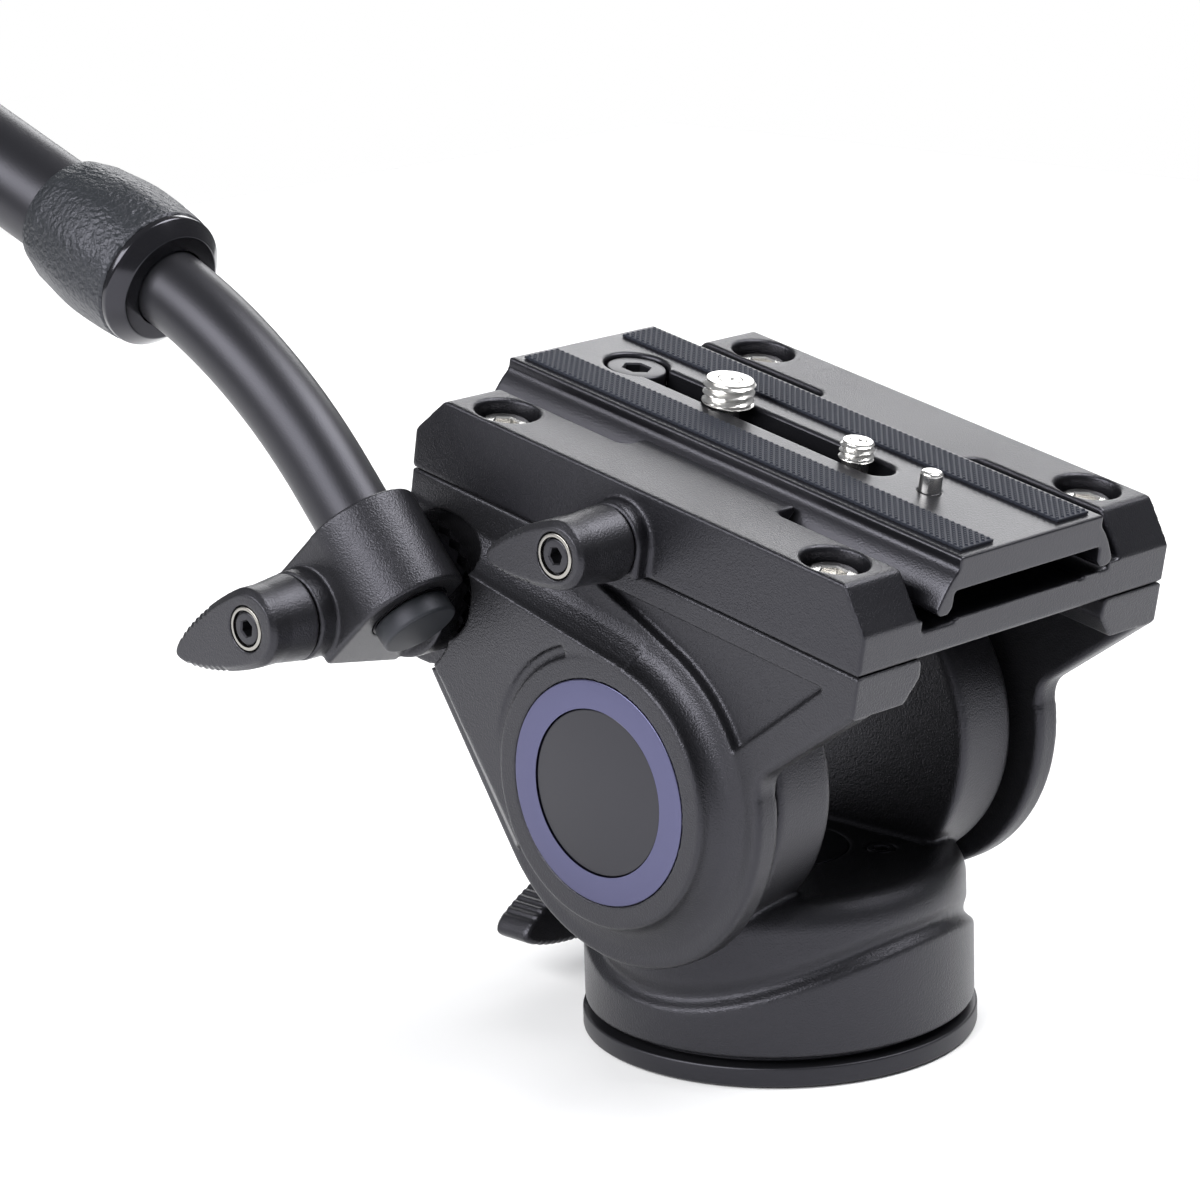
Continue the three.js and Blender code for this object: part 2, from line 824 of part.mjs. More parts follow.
// The face is bevelled, and the body widens a little towards the hub's foot
function wingKnob(radius, reach, hubLength) {
  const face = hubLength + wingThickness;
  const outline = wingOutline(radius, reach);
  const scaled = (change) => outline.map(
    ([x, y]) => [x * (1 + change / reach), y * (1 + change / radius)],
  );
  const wing = solid(loft([
    atLevel(scaled(-wingFaceEdge), hubLength),
    atLevel(scaled(0), hubLength + wingFaceEdge),
    atLevel(scaled(0), face - wingFaceEdge),
    atLevel(scaled(-wingFaceEdge), face),
  ]));
  const hub = solid(revolve(
    [
      [0, 0],
      [radius + wingTaper, 0],
      [radius, hubLength + wingThickness / 2],
      [0, hubLength + wingThickness / 2],
    ],
    midFacets,
  ));
  const ringSeat = solid(rod(knobRingOuter + threadGap, face - knobRingDepth, face + overrun, boreFacets));
  const bore = solid(rod(knobBoltRadius + threadGap, -overrun, face + overrun, boreFacets));
  return cut(join(wing, hub), ringSeat, bore);
}

function knobRing(hubLength) {
  const face = hubLength + wingThickness;
  return solid(tubeRing(knobRingInner, knobRingOuter, face - knobRingDepth, face - threadGap, boreFacets));
}

// The bolt's head shows inside the ring, and its shank reaches below the hub
function knobBolt(hubLength, shank) {
  const face = hubLength + wingThickness - knobBoltInset;
  const body = solid(rod(knobBoltRadius, -shank, face, boreFacets));
  return cut(body, solid(rod(knobHexRadius, face - knobBoltRadius, face + overrun, hexSides)));
}

function knobGroup(label, radius, reach, hubLength, shank) {
  const group = new THREE.Group();
  group.add(
    meshOf(`${label}_knob`, wingKnob(radius, reach, hubLength), castBlack()),
    meshOf(`${label}_knob_ring`, knobRing(hubLength), steel()),
    meshOf(`${label}_knob_bolt`, knobBolt(hubLength, shank), blackSteel()),
  );
  return group;
}

// Side arms. Made about the tilt axis, pointing right: x forward, y up, z outward.

// Where the slope under the front flange rounds into the rim
function frontFillet() {
  const normal = polar(1, -slopeAngle);
  const along = polar(1, 90 - slopeAngle);
  const reach = flangeFront * normal[0] + flangeUnder * normal[1] + armFilletRadius;
  const climb = Math.sqrt((armRimRadius + armFilletRadius) ** 2 - reach ** 2);
  const centre = [normal[0] * reach + along[0] * climb, normal[1] * reach + along[1] * climb];
  const rimAngle = THREE.MathUtils.radToDeg(Math.atan2(centre[1], centre[0]));
  return { centre, rimAngle };
}

function armOutline() {
  const { centre, rimAngle } = frontFillet();
  const [middleX, middleY] = centre;
  const fillet = arc(middleX, middleY, armFilletRadius, 180 - slopeAngle, 180 + rimAngle, hexSides);
  const rim = arc(0, 0, armRimRadius, rimAngle, armRearAngle - 360, midFacets);
  const [tangentX, tangentY] = rim[rim.length - 1];
  const run = (rosetteBack + tangentX) / Math.sin(radians(armRearAngle - 180));
  const rise = run * Math.cos(radians(armRearAngle - 180));
  return [
    [flangeFront, flangeTop],
    [flangeFront, flangeUnder],
    ...fillet,
    ...rim,
    [-rosetteBack, tangentY + rise],
    [-rosetteBack - rosettePadRadius / 2, rosetteUp],
    [-flangeRear, rosetteUp + rosettePadRadius / 2],
    [-flangeRear, flangeTop],
  ];
}

function armFlange() {
  const outline = [
    [flangeInner, flangeTop],
    [flangeInner - drumEdge, flangeTop - flangeTipDrop],
    [flangeInner + flangeTipRun, flangeUnder],
    [armOuter - blockEdge, flangeUnder],
    [armOuter, flangeUnder + blockEdge],
    [armOuter, flangeTop],
  ];
  const bar = raise(outline.map(([side, up]) => [-side, up]), -flangeRear, flangeFront);
  return solid(toFront(bar));
}

function armBoss() {
  return solid(
    toRight(
      revolve(
        [
          [0, armInner + armEdge],
          [bossFootRadius, armInner + armEdge],
          [bossFootRadius, armOuter],
          [bossCoveRadius, armOuter + bossRise * bossCoveShare],
          [bossTopRadius, bossFace - bossEdge],
          [bossTopRadius - bossEdge, bossFace - threadGap],
          [0, bossFace - threadGap],
        ],
        bigFacets,
      ),
    ),
  );
}

// The raised land that runs back from the boss to the rosette. Its crest continues the
// boss's edge, and its face falls away from the crest towards the arm's rear edge.
function armLand() {
  const outline = (crestReach, footReach) => {
    const crest = polar(crestReach, landCrestAngle);
    const foot = polar(footReach, armRearAngle);
    const crestRun = (flangeRear + crest[0]) / Math.sin(radians(landCrestAngle));
    const footRun = (flangeRear + foot[0]) / Math.sin(radians(armRearAngle - 180));
    return [
      crest,
      [-flangeRear, crest[1] + crestRun * Math.cos(radians(landCrestAngle))],
      [-flangeRear, foot[1] + footRun * Math.cos(radians(armRearAngle - 180))],
      foot,
      [0, 0],
    ];
  };
  const [crestX, crestY] = polar(1, landCrestAngle);
  const footSpan = bossTopRadius - landFootReach * Math.cos(radians(armRearAngle - landCrestAngle));
  const fall = landFootDrop / footSpan;
  const onFace = ([x, y]) => bossFace - fall * (bossTopRadius - x * crestX - y * crestY);
  const foot = landFootReach + landFootRun;
  const low = outline(bossFootRadius, foot);
  const cove = outline(bossCoveRadius, foot - landFootRun * bossCoveShare);
  const high = outline(bossTopRadius, landFootReach);
  return solid(toRight(loft([
    atLevel(low, armInner + armEdge),
    atLevel(low, armOuter - threadGap),
    atLevel(cove, armOuter + bossRise * bossCoveShare - threadGap),
    high.map((point) => [...point, onFace(point) - threadGap]),
  ])));
}

// The triangular recess ahead of the boss, between the rim arc and the slope
function armPanel() {
  const arcEnd = polar(panelArcRadius, panelArcTo);
  const run = (panelTop - arcEnd[1]) / Math.cos(radians(panelArcTo));
  const floor = [
    [panelFront, panelTop],
    [arcEnd[0] - run * Math.sin(radians(panelArcTo)), panelTop],
    ...arc(0, 0, panelArcRadius, panelArcTo, panelArcFrom, boreFacets / 2),
  ];
  const middle = polar(panelArcRadius + panelMiddleReach, (panelArcFrom + panelArcTo) / 2);
  const mouth = floor.map(([x, y]) => [
    middle[0] + (x - middle[0]) * (1 + panelSlopeShare),
    middle[1] + (y - middle[1]) * (1 + panelSlopeShare),
  ]);
  return solid(toRight(loft([atLevel(floor, panelFloor), atLevel(mouth, bossFace)])));
}

function armCrescent() {
  const outer = crescentRadius + crescentWidth / 2;
  const inner = crescentRadius - crescentWidth / 2;
  const back = arc(0, 0, outer, crescentTo, crescentFrom, smallFacets);
  const front = arc(0, 0, inner, crescentFrom, crescentTo, smallFacets);
  return solid(toRight(raise([...front, ...back], bossFace - crescentDepth, bossFace + overrun)));
}

// The rosette's recess: a round one about the rosette, and a smaller one ahead of it
function rosetteRecess() {
  const level = rosetteFace - toothHeight;
  const round = placed(
    toRight(rod(rosettePadRadius, level, bossFace + overrun, midFacets)),
    -rosetteBack,
    0,
    rosetteUp,
  );
  const run = placed(
    toRight(rod(recessRunRadius, level, bossFace + overrun, midFacets)),
    recessRunAhead - rosetteBack,
    0,
    rosetteUp + recessRunUp,
  );
  return join(solid(round), solid(run));
}

// A face ring of radial teeth, from the core to the outer radius, crest up
const toothCorners = ['inner foot', 'inner top', 'outer foot', 'outer top'];

function toothRing(baseLevel, crestLevel, turn) {
  const vertices = [];
  const triangles = [];
  const steps = toothCount * 2;
  for (let i = 0; i < steps; i += 1) {
    const angle = (2 * Math.PI * (i + turn)) / steps;
    [rosetteCoreRadius, rosetteRadius].forEach((radius) => {
      const crest = i % 2 === 0;
      const level = crest ? crestLevel : crestLevel - (toothHeight * radius) / rosetteRadius;
      vertices.push(radius * Math.cos(angle), radius * Math.sin(angle), baseLevel);
      vertices.push(radius * Math.cos(angle), radius * Math.sin(angle), level);
    });
  }
  const corners = [...toothCorners.keys()];
  const quad = (p, q, r, s) => triangles.push(p, q, r, p, r, s);
  for (let i = 0; i < steps; i += 1) {
    const [innerFoot, innerTop, outerFoot, outerTop] = corners.map((corner) => corners.length * i + corner);
    const next = (i + 1) % steps;
    const [nextInnerFoot, nextInnerTop, nextOuterFoot, nextOuterTop] =
      corners.map((corner) => corners.length * next + corner);
    quad(outerFoot, nextOuterFoot, nextOuterTop, outerTop);
    quad(nextInnerFoot, innerFoot, innerTop, nextInnerTop);
    quad(innerTop, outerTop, nextOuterTop, nextInnerTop);
    quad(innerFoot, nextInnerFoot, nextOuterFoot, outerFoot);
  }
  const geometry = new THREE.BufferGeometry();
  geometry.setAttribute('position', new THREE.Float32BufferAttribute(vertices, 3));
  geometry.setIndex(triangles);
  return geometry;
}

const ringSeatLevel = bossFace - ringDepth;
const capSeatLevel = bossFace - centreCapDepth;
const boltSeatLevel = capSeatLevel - axleBoltHeadHeight - seatGap;

function sideArm() {
  const web = solid(toRight(raise(armOutline().reverse(), armInner, armOuter, armEdge, armEdge)));
  const hub = solid(toRight(rod(armHubRadius, earOuter + runningGap, armInner + armEdge, midFacets)));
  const pad = solid(placed(
    toRight(rod(rosettePadRadius, armInner, rosetteFace - toothHeight, midFacets)),
    -rosetteBack,
    0,
    rosetteUp,
  ));
  const teeth = solid(placed(
    toRight(toothRing(armInner + overrun, rosetteFace, 0)),
    -rosetteBack,
    0,
    rosetteUp,
  ));
  const boltHole = solid(placed(
    toRight(rod(knobBoltRadius + seatGap, armInner - overrun, bossFace, boreFacets)),
    -rosetteBack,
    0,
    rosetteUp,
  ));
  const raised = join(web, hub, armFlange(), armBoss(), armLand());
  const body = cut(raised, armPanel(), armCrescent(), rosetteRecess());
  const ringRoom = ringOuterRadius + threadGap;
  const ringSeat = solid(toRight(rod(ringRoom, ringSeatLevel, bossFace + overrun, bigFacets)));
  const capSeat = solid(toRight(rod(ringInnerRadius, capSeatLevel, bossFace + overrun, bigFacets)));
  const boltSeat = solid(toRight(rod(axleBoltHeadRadius + seatGap, boltSeatLevel, bossFace, boreFacets)));
  const axleBore = solid(toRight(rod(axleRadius + threadGap, 0, armInner + armEdge, midFacets)));
  const shankHole = solid(toRight(rod(axleBoltRadius + seatGap, 0, bossFace, boreFacets)));
  const screwHoles = blockScrewXs().map((x) => solid(placed(
    rod(blockScrewRadius + threadGap, blockScrewEnd - seatGap, flangeTop + overrun, smallFacets),
    x,
    -blockScrewSide,
    0,
  )));
  const holes = [boltHole, ringSeat, capSeat, boltSeat, axleBore, shankHole, ...screwHoles];
  return cut(join(body, pad, teeth), ...holes);
}

const blockScrewXs = () => [blockScrewRearInset - flangeRear, flangeFront - blockScrewFrontInset];

// The left arm also carries the tilt lock's boss
function leftArm(armBody) {
  const boss = toRight(rod(tiltBossRadius, armInner + armEdge, tiltBossEnd, boreFacets));
  const hole = toRight(rod(knobBoltRadius + seatGap, 0, tiltBossEnd + overrun, boreFacets));
  const withBoss = join(armBody, solid(placed(boss, -tiltKnobBack, 0, 0)));
  const roomRadius = ringOuterRadius + threadGap;
  const roomRod = rod(roomRadius, ringSeatLevel, tiltBossEnd + overrun, bigFacets);
  const ringRoom = solid(toRight(roomRod));
  return mirroredBody(cut(withBoss, ringRoom, solid(placed(hole, -tiltKnobBack, 0, 0))));
}

function trimRing() {
  const inner = ringInnerRadius + threadGap;
  return solid(toRight(revolve(
    [
      [inner, ringSeatLevel + threadGap],
      [ringOuterRadius, ringSeatLevel + threadGap],
      [ringOuterRadius, bossFace - drumEdge / 2],
      [ringOuterRadius - drumEdge / 2, bossFace],
      [inner, bossFace],
    ],
    bigFacets,
  )));
}

function centreCap() {
  const high = bossFace - capFaceInset;
  return solid(toRight(
    chamferedRod(ringInnerRadius - threadGap, capSeatLevel + threadGap, high, capFaceInset, bigFacets),
  ));
}

function tiltAxle() {
  const inner = earOuter - earPocketDepth + seatGap;
  const outer = armInner + armEdge - seatGap;
  const shaft = solid(toRight(rod(axleRadius, inner, outer, midFacets)));
  const bore = rod(axleBoltRadius + threadGap, outer - axleBoltGrip, outer + overrun, boreFacets);
  return cut(shaft, solid(toRight(bore)));
}

function axleBolt() {
  const shankEnd = armInner + armEdge - seatGap - axleBoltGrip + seatGap;
  const headLow = boltSeatLevel + threadGap;
  const headHigh = headLow + axleBoltHeadHeight;
  const shank = rod(axleBoltRadius, shankEnd, headLow + overrun, boreFacets);
  const head = rod(axleBoltHeadRadius, headLow, headHigh, boreFacets);
  const socketFloor = headHigh - axleBoltHeadHeight * socketDepthShare;
  const socket = rod(axleBoltRadius, socketFloor, headHigh + overrun, hexSides);
  return cut(join(solid(toRight(shank)), solid(toRight(head))), solid(toRight(socket)));
}

// Top block

function blockSection() {
  const wall = (side, lip, half, foot) => [
    [side * lip, railTop],
    [side * lip, overhangLip],
    [side * half, overhangLip - (half - lip)],
    [side * half, foot],
  ];
  const right = [
    [-blockHalfWidth, flangeTop + threadGap],
    [-blockHalfWidth, railTop - blockEdge],
    [-blockHalfWidth + blockEdge, railTop],
    ...wall(-1, railOverhang, channelHalf, grooveFloor),
    [-raisedFloorHalf, grooveFloor],
    [-raisedFloorHalf + blockEdge, channelFloor],
  ];
  const left = [
    [raisedFloorHalf, channelFloor],
    [raisedFloorHalf, farLedge],
    ...wall(1, farOverhang, farChannelHalf, farLedge).reverse(),
    [blockHalfWidth - blockEdge, railTop],
    [blockHalfWidth, railTop - blockEdge],
    [blockHalfWidth, flangeTop + threadGap],
  ];
  return [...right, ...left];
}

// The left rail's overhang is cut back towards an end, with a rounded corner
function railCut(near, end) {
  const away = Math.sign(end - near);
  const corner = arc(0, 0, cutBackRound, 180, 90, hexSides).map(([x, y]) => [
    near + away * (x + cutBackRound),
    y + cutBackHalf - cutBackRound,
  ]);
  const inner = farOverhang - overrun;
  const outline = [[near, inner], ...corner, [end, cutBackHalf], [end, inner]];
  return solid(raise(outline, wallFoot, railTop + overrun));
}

function topBlock() {
  const bar = solid(toFront(raise(blockSection(), -flangeRear, flangeFront)));
  const sideView = [
    [-flangeRear, flangeTop - overrun],
    [flangeFront, flangeTop - overrun],
    [flangeFront, blockChamferLow],
    [flangeFront - blockFrontRun, railTop],
    [flangeFront - blockFrontRun, railTop + overrun],
    [blockRearRun - flangeRear, railTop + overrun],
    [blockRearRun - flangeRear, railTop],
    [-flangeRear, blockChamferLow],
  ];
  const envelope = solid(toRight(raise(sideView, -blockHalfWidth - overrun, blockHalfWidth + overrun)));
  const arch = [
    ...arc(-plateKnobX, plateKnobUp, plateBossRadius, 0, 180, smallFacets),
    [-plateKnobX - plateBossRadius, flangeTop + threadGap],
    [-plateKnobX + plateBossRadius, flangeTop + threadGap],
  ];
  const boss = solid(toRight(raise(arch, blockHalfWidth - overrun, plateBossEnd)));
  const counterbores = [];
  blockScrewXs().forEach((x) => {
    [-blockScrewSide, blockScrewSide].forEach((y) => {
      counterbores.push(solid(placed(
        rod(counterboreRadius, counterboreFloor, railTop + overrun, boreFacets),
        x,
        y,
        0,
      )));
      counterbores.push(solid(placed(
        rod(blockScrewRadius + seatGap, flangeTop - overrun, railTop, smallFacets),
        x,
        y,
        0,
      )));
    });
  });
  const leftCuts = [
    railCut(nearCutFront, flangeFront + overrun),
    railCut(-nearCutRear, -flangeRear - overrun),
  ];
  const cuts = leftCuts.flatMap((tool) => [tool, mirroredBody(tool)]);
  const jawRoom = solid(block(
    -plateKnobX - jawHalfLength - seatGap,
    -plateKnobX + jawHalfLength + seatGap,
    -jawBack - seatGap,
    -railOverhang,
    grooveFloor,
    grooveFloor + jawFloorGap + jawHeight + seatGap,
  ));
  const boltHole = solid(placed(
    toRight(rod(knobBoltRadius + seatGap, channelHalf, plateBossEnd + overrun, boreFacets)),
    -plateKnobX,
    0,
    plateKnobUp,
  ));
  return cut(join(common(bar, envelope), boss), ...counterbores, ...cuts, jawRoom, boltHole);
}

function blockScrew() {
  const headLow = counterboreFloor + threadGap;
  const head = socketScrewHead(blockScrewHeadRadius, headLow, headLow + blockScrewHeadHeight);
  return join(head, solid(rod(blockScrewRadius, blockScrewEnd, headLow + seatGap, smallFacets)));
}

function lockJaw() {
  const low = grooveFloor + jawFloorGap;
  const high = low + jawHeight;
  const outline = [
    [-jawBack, low],
    [-jawFootReach, low],
    [-jawTopReach, high],
    [-jawBack, high],
  ];
  return solid(toFront(raise(outline, -plateKnobX - jawHalfLength, -plateKnobX + jawHalfLength)));
}

// Camera plate

function plateSection() {
  const flank = flankDepthShares.map(([out, down]) => [
    plateTopHalf + (plateFootOuter - plateTopHalf) * out,
    flankTop - (flankTop - plateFootUnder - footLipHeight) * down,
  ]);
  const half = [
    [plateTopHalf - drumEdge, plateTop],
    [plateTopHalf, plateTop - drumEdge],
    [plateTopHalf, flankTop],
    ...flank,
    [plateFootOuter - footLipInset, plateFootUnder],
    [plateFootInner + footLipInset, plateFootUnder],
    [plateFootInner, plateFootUnder + footLipHeight],
    [plateFootInner, plateDeckUnder - drumEdge],
    [plateFootInner - drumEdge, plateDeckUnder],
  ];
  return [...half, ...half.map(([y, z]) => [-y, z]).reverse()];
}

function cameraPlate() {
  const bar = solid(toFront(raise(plateSection(), -plateRear, plateFront)));
  const seat = solid(placed(
    rod(counterborePlateRadius, plateTop - counterborePlateDepth, plateTop + overrun, boreFacets),
    -counterborePlateX,
    0,
    0,
  ));
  const slotEnds = [
    ...arc(slotFront, 0, slotHalf, -90, 90, smallFacets / 2),
    ...arc(-counterborePlateX, 0, slotHalf, 90, 270, smallFacets / 2),
  ];
  const slot = solid(raise(slotEnds, plateDeckUnder - overrun, plateTop + overrun));
  const pinHole = solid(placed(
    rod(pinRadius + threadGap, plateDeckUnder - overrun, plateTop + overrun, smallFacets),
    pinX,
    0,
    0,
  ));
  return cut(bar, seat, slot, pinHole);
}

function rubberStrip(side) {
  const ys = [side * stripInner, side * stripOuter].sort((a, b) => a - b);
  const low = plateTop + threadGap;
  const inset = plateEndInset;
  return solid(block(-plateRear + inset, plateFront - inset, ys[0], ys[1], low, low + stripThickness));
}

function stopScrew() {
  const low = plateTop - counterborePlateDepth + threadGap;
  const high = plateTop - stopScrewInset;
  const head = solid(rod(stopScrewRadius, low, high, boreFacets));
  const shank = solid(rod(slotHalf - seatGap, plateDeckUnder, low + overrun, boreFacets));
  const depth = (high - low) * socketDepthShare;
  return cut(join(head, shank), solid(rod(stopScrewHexRadius, high - depth, high + overrun, hexSides)));
}

// A camera screw: ribbed thread above the deck, thin neck in the slot, coin-slotted head below
function cameraScrew(threadRadius, top) {
  const washerUnder = plateDeckUnder - seatGap - washerThickness;
  const headHigh = washerUnder - seatGap;
  const headLow = headHigh - screwHeadThickness;
  const threadStart = plateTop + seatGap;
  const root = threadRadius * (1 - threadDepthShare);
  const turns = Math.max(1, Math.floor((top - threadStart) / threadPitch));
  const pitch = (top - threadStart) / turns;
  const profile = [
    [0, headLow],
    [screwHeadRadius, headLow],
    [screwHeadRadius, headHigh],
    [screwNeckRadius, headHigh],
    [screwNeckRadius, threadStart],
  ];
  for (let i = 0; i < turns; i += 1) {
    profile.push([root, threadStart + pitch * i]);
    profile.push([threadRadius, threadStart + pitch * (i + 0.5)]);
  }
  profile.push([root, top], [0, top]);
  const coinSlot = block(
    -screwHeadRadius - overrun,
    screwHeadRadius + overrun,
    -washerThickness,
    washerThickness,
    headLow - overrun,
    headLow + screwHeadThickness / 2,
  );
  return cut(solid(revolve(profile, boreFacets)), solid(coinSlot));
}

function captiveWasher() {
  const high = plateDeckUnder - seatGap;
  const body = block(
    -washerHalfLength,
    washerHalfLength,
    -washerHalfWidth,
    washerHalfWidth,
    high - washerThickness,
    high,
  );
  const hole = rod(screwNeckRadius + seatGap, plateDeckUnder - 2 * screwHeadRadius, plateTop, boreFacets);
  return cut(solid(body), solid(hole));
}

function alignmentPin() {
  return solid(chamferedRod(pinRadius, plateDeckUnder, pinTop, pinTipChamfer, smallFacets));
}

// Handle. The clamp's bolt axis is the handle group's origin; the tube leaves along -X.

const bendTangent = bendRadius * Math.tan(radians(bendAngle / 2));
const bendLength = bendRadius * radians(bendAngle);

// The tube's middle line: straight in the clamp, one bend, straight to its hidden end
class HandleLine extends THREE.Curve {
  constructor(startX, endReach) {
    super();
    this.startX = startX;
    this.lengths = [startX + bendCorner - bendTangent, bendLength, endReach - bendTangent];
  }

  // One step for each straight and the rest for the bend
  getPoint(share) {
    const steps = bendSteps + 2;
    const step = share * steps;
    const bendShare = THREE.MathUtils.clamp((step - 1) / bendSteps, 0, 1);
    const turn = radians(bendAngle) * bendShare;
    const straight = this.lengths[0] * Math.min(step, 1);
    const tail = this.lengths[2] * THREE.MathUtils.clamp(step - steps + 1, 0, 1);
    const x = this.startX - straight - bendRadius * Math.sin(turn) - tail * Math.cos(turn);
    const z = clampTubeOffset - bendRadius * (1 - Math.cos(turn)) - tail * Math.sin(turn);
    return new THREE.Vector3(x, -clampTubeSide, z);
  }

  getPointAt(share) {
    return this.getPoint(share);
  }

  getTangentAt(share) {
    const steps = bendSteps + 2;
    const bendShare = THREE.MathUtils.clamp((share * steps - 1) / bendSteps, 0, 1);
    const turn = radians(bendAngle) * bendShare;
    return new THREE.Vector3(-Math.cos(turn), 0, -Math.sin(turn));
  }
}

function handleTube() {
  const line = new HandleLine(clampHalfLength, innerTubeReach);
  const outer = arc(0, 0, tubeRadius, 0, 360 - 360 / tubeFacets, tubeFacets - 1);
  const inner = arc(0, 0, tubeRadius - tubeWall, 0, 360 - 360 / tubeFacets, tubeFacets - 1);
  const geometry = new THREE.ExtrudeGeometry(shapeOf(outer, [inner]), {
    steps: bendSteps + 2,
    extrudePath: line,
    curveSegments: 1,
  });
  return solid(geometry);
}

// Turned parts on the clamp's straight tube run along +X from the clamp's middle
function alongClamp(geometry) {
  return placed(geometry.rotateY(Math.PI / 2), 0, -clampTubeSide, clampTubeOffset);
}

function tubePlug() {
  const stem = tubeRadius - tubeWall - slipGap;
  const head = tubeRadius - plugHeadInset;
  const low = clampHalfLength - plugDepth;
  const seat = clampHalfLength + threadGap;
  const high = clampHalfLength + plugProud;
  return solid(alongClamp(revolve(
    [
      [0, low],
      [stem, low],
      [stem, seat],
      [head, seat],
      [head, high - plugEdge],
      [head - plugEdge, high],
      [0, high],
    ],
    tubeFacets,
  )));
}

function handleClamp() {
  const barrel = revolve(
    [
      [0, -clampHalfLength],
      [clampTubeRadius - clampEdge, -clampHalfLength],
      [clampTubeRadius, -clampHalfLength + clampEdge],
      [clampTubeRadius, clampHalfLength - clampEdge],
      [clampTubeRadius - clampEdge, clampHalfLength],
      [0, clampHalfLength],
    ],
    midFacets,
  );
  const boss = toRight(rod(clampBossRadius, rosetteFace + overrun, clampBossEnd, midFacets));
  const discStart = rosetteFace + toothHeight + seatGap;
  const disc = toRight(rod(rosetteRadius, discStart, clampDiscEnd, toothCount * 2));
  const webOutline = [
    [-clampTubeSide - clampTubeRadius, clampTubeOffset],
    [-clampTubeSide - clampTubeRadius, -clampWebDrop],
    [-clampDiscEnd + clampEdge, -clampWebRootDrop],
    [-clampDiscEnd + clampEdge, clampTubeOffset],
  ];
  const webHalf = clampHalfLength - clampEdge;
  const web = toFront(raise(webOutline, -webHalf, webHalf));
  const teeth = toRight(toothRing(-clampDiscEnd + overrun, -rosetteFace - seatGap, 1).scale(1, 1, -1));
  const tubeBore = alongClamp(
    rod(tubeRadius + slipGap, -clampHalfLength - overrun, clampHalfLength + overrun, tubeFacets),
  );
  const boltBore = toRight(rod(knobBoltRadius + seatGap, armInner, clampBossEnd + overrun, boreFacets));
  const body = join(solid(alongClamp(barrel)), solid(boss), solid(disc), solid(web), solid(teeth));
  return cut(body, solid(tubeBore), solid(boltBore), landRelief());
}

// Room for the arm's land, which the clamp passes when the handle is set to another angle
function landRelief() {
  const inner = rosettePadRadius - clampRecessGap;
  const outer = Math.hypot(clampTubeOffset + clampTubeRadius, clampHalfLength) + overrun;
  return solid(toRight(tubeRing(inner, outer, rosetteFace, bossFace + runningGap, midFacets)));
}

// Parts on the outer tube run along -X from the collar's front face

const alongHandle = (geometry) => toBack(geometry);

function lockCollar() {
  const bore = tubeRadius + runningGap;
  return solid(alongHandle(revolve(
    [
      [bore, 0],
      [collarRadius - collarChamfer, 0],
      [collarRadius, collarChamfer],
      [collarRadius, collarLength - threadGap],
      [collarStubRadius, collarLength - threadGap],
      [collarStubRadius, collarLength + collarStub],
      [bore, collarLength + collarStub],
    ],
    midFacets,
  )));
}

function lockSleeve() {
  const low = collarLength + threadGap;
  const high = low + sleeveLength;
  const middle = low + sleeveLength * sleeveMiddleShare;
  const bore = outerTubeRadius + 2 * runningGap;
  const counterbore = collarStubRadius + runningGap;
  const stubRoom = collarLength + collarStub + seatGap;
  const colletRoom = stubRoom + colletLength + seatGap;
  return solid(alongHandle(revolve(
    [
      [counterbore, low],
      [sleeveFrontRadius - drumEdge, low],
      [sleeveFrontRadius, low + drumEdge],
      [sleeveMiddleRadius, middle],
      [(sleeveMiddleRadius + sleeveRearRadius) / 2, middle + (high - middle) * sleeveShoulderShare],
      [sleeveRearRadius, high - drumEdge],
      [sleeveRearRadius - drumEdge, high],
      [bore, high],
      [bore, colletRoom],
      [counterbore, colletRoom],
    ],
    midFacets,
  )));
}

function collet() {
  const low = collarLength + collarStub + seatGap;
  const ring = solid(alongHandle(
    tubeRing(tubeRadius + slipGap, colletRadius, low, low + colletLength, midFacets),
  ));
  const split = block(
    -low - colletLength - overrun,
    -low + overrun,
    0,
    colletRadius + overrun,
    -threadPitch / 2,
    threadPitch / 2,
  );
  return cut(ring, solid(split));
}

function outerTube() {
  const low = collarLength + collarStub + colletLength + 2 * seatGap;
  return solid(alongHandle(
    tubeRing(outerTubeRadius - outerTubeWall, outerTubeRadius, low, outerTubeEnd, tubeFacets),
  ));
}

function handGrip() {
  const bore = outerTubeRadius + slipGap;
  return solid(alongHandle(revolve(
    [
      [bore, gripFrom],
      [gripRadius - gripEdge, gripFrom],
      [gripRadius, gripFrom + gripEdge],
      [gripWaistRadius, (gripFrom + outerTubeEnd) / 2],
      [gripRadius, outerTubeEnd - gripEdge],
      [gripRadius, outerTubeEnd],
      [bore, outerTubeEnd],
    ],
    midFacets,
  )));
}

function endCap() {
  const start = outerTubeEnd + seatGap;
  return solid(alongHandle(revolve(
    [
      [0, outerTubeEnd - endCapPlug],
      [outerTubeRadius - outerTubeWall - seatGap, outerTubeEnd - endCapPlug],
      [outerTubeRadius - outerTubeWall - seatGap, start],
      [endCapRadius, start],
      [endCapRadius, start + endCapThickness / 2],
      [endCapRadius - endCapThickness / 2, start + endCapThickness],
      [0, start + endCapThickness],
    ],
    midFacets,
  )));
}

// Assembly

const head = new THREE.Group();
head.add(
  meshOf('base_plate', basePlate(), satinBlack()),
  meshOf('thread_bush', threadBush(), steel()),
  meshOf('pan_spindle', panSpindle(), steel()),
  meshOf('spindle_nut', spindleNut(), steel()),
);

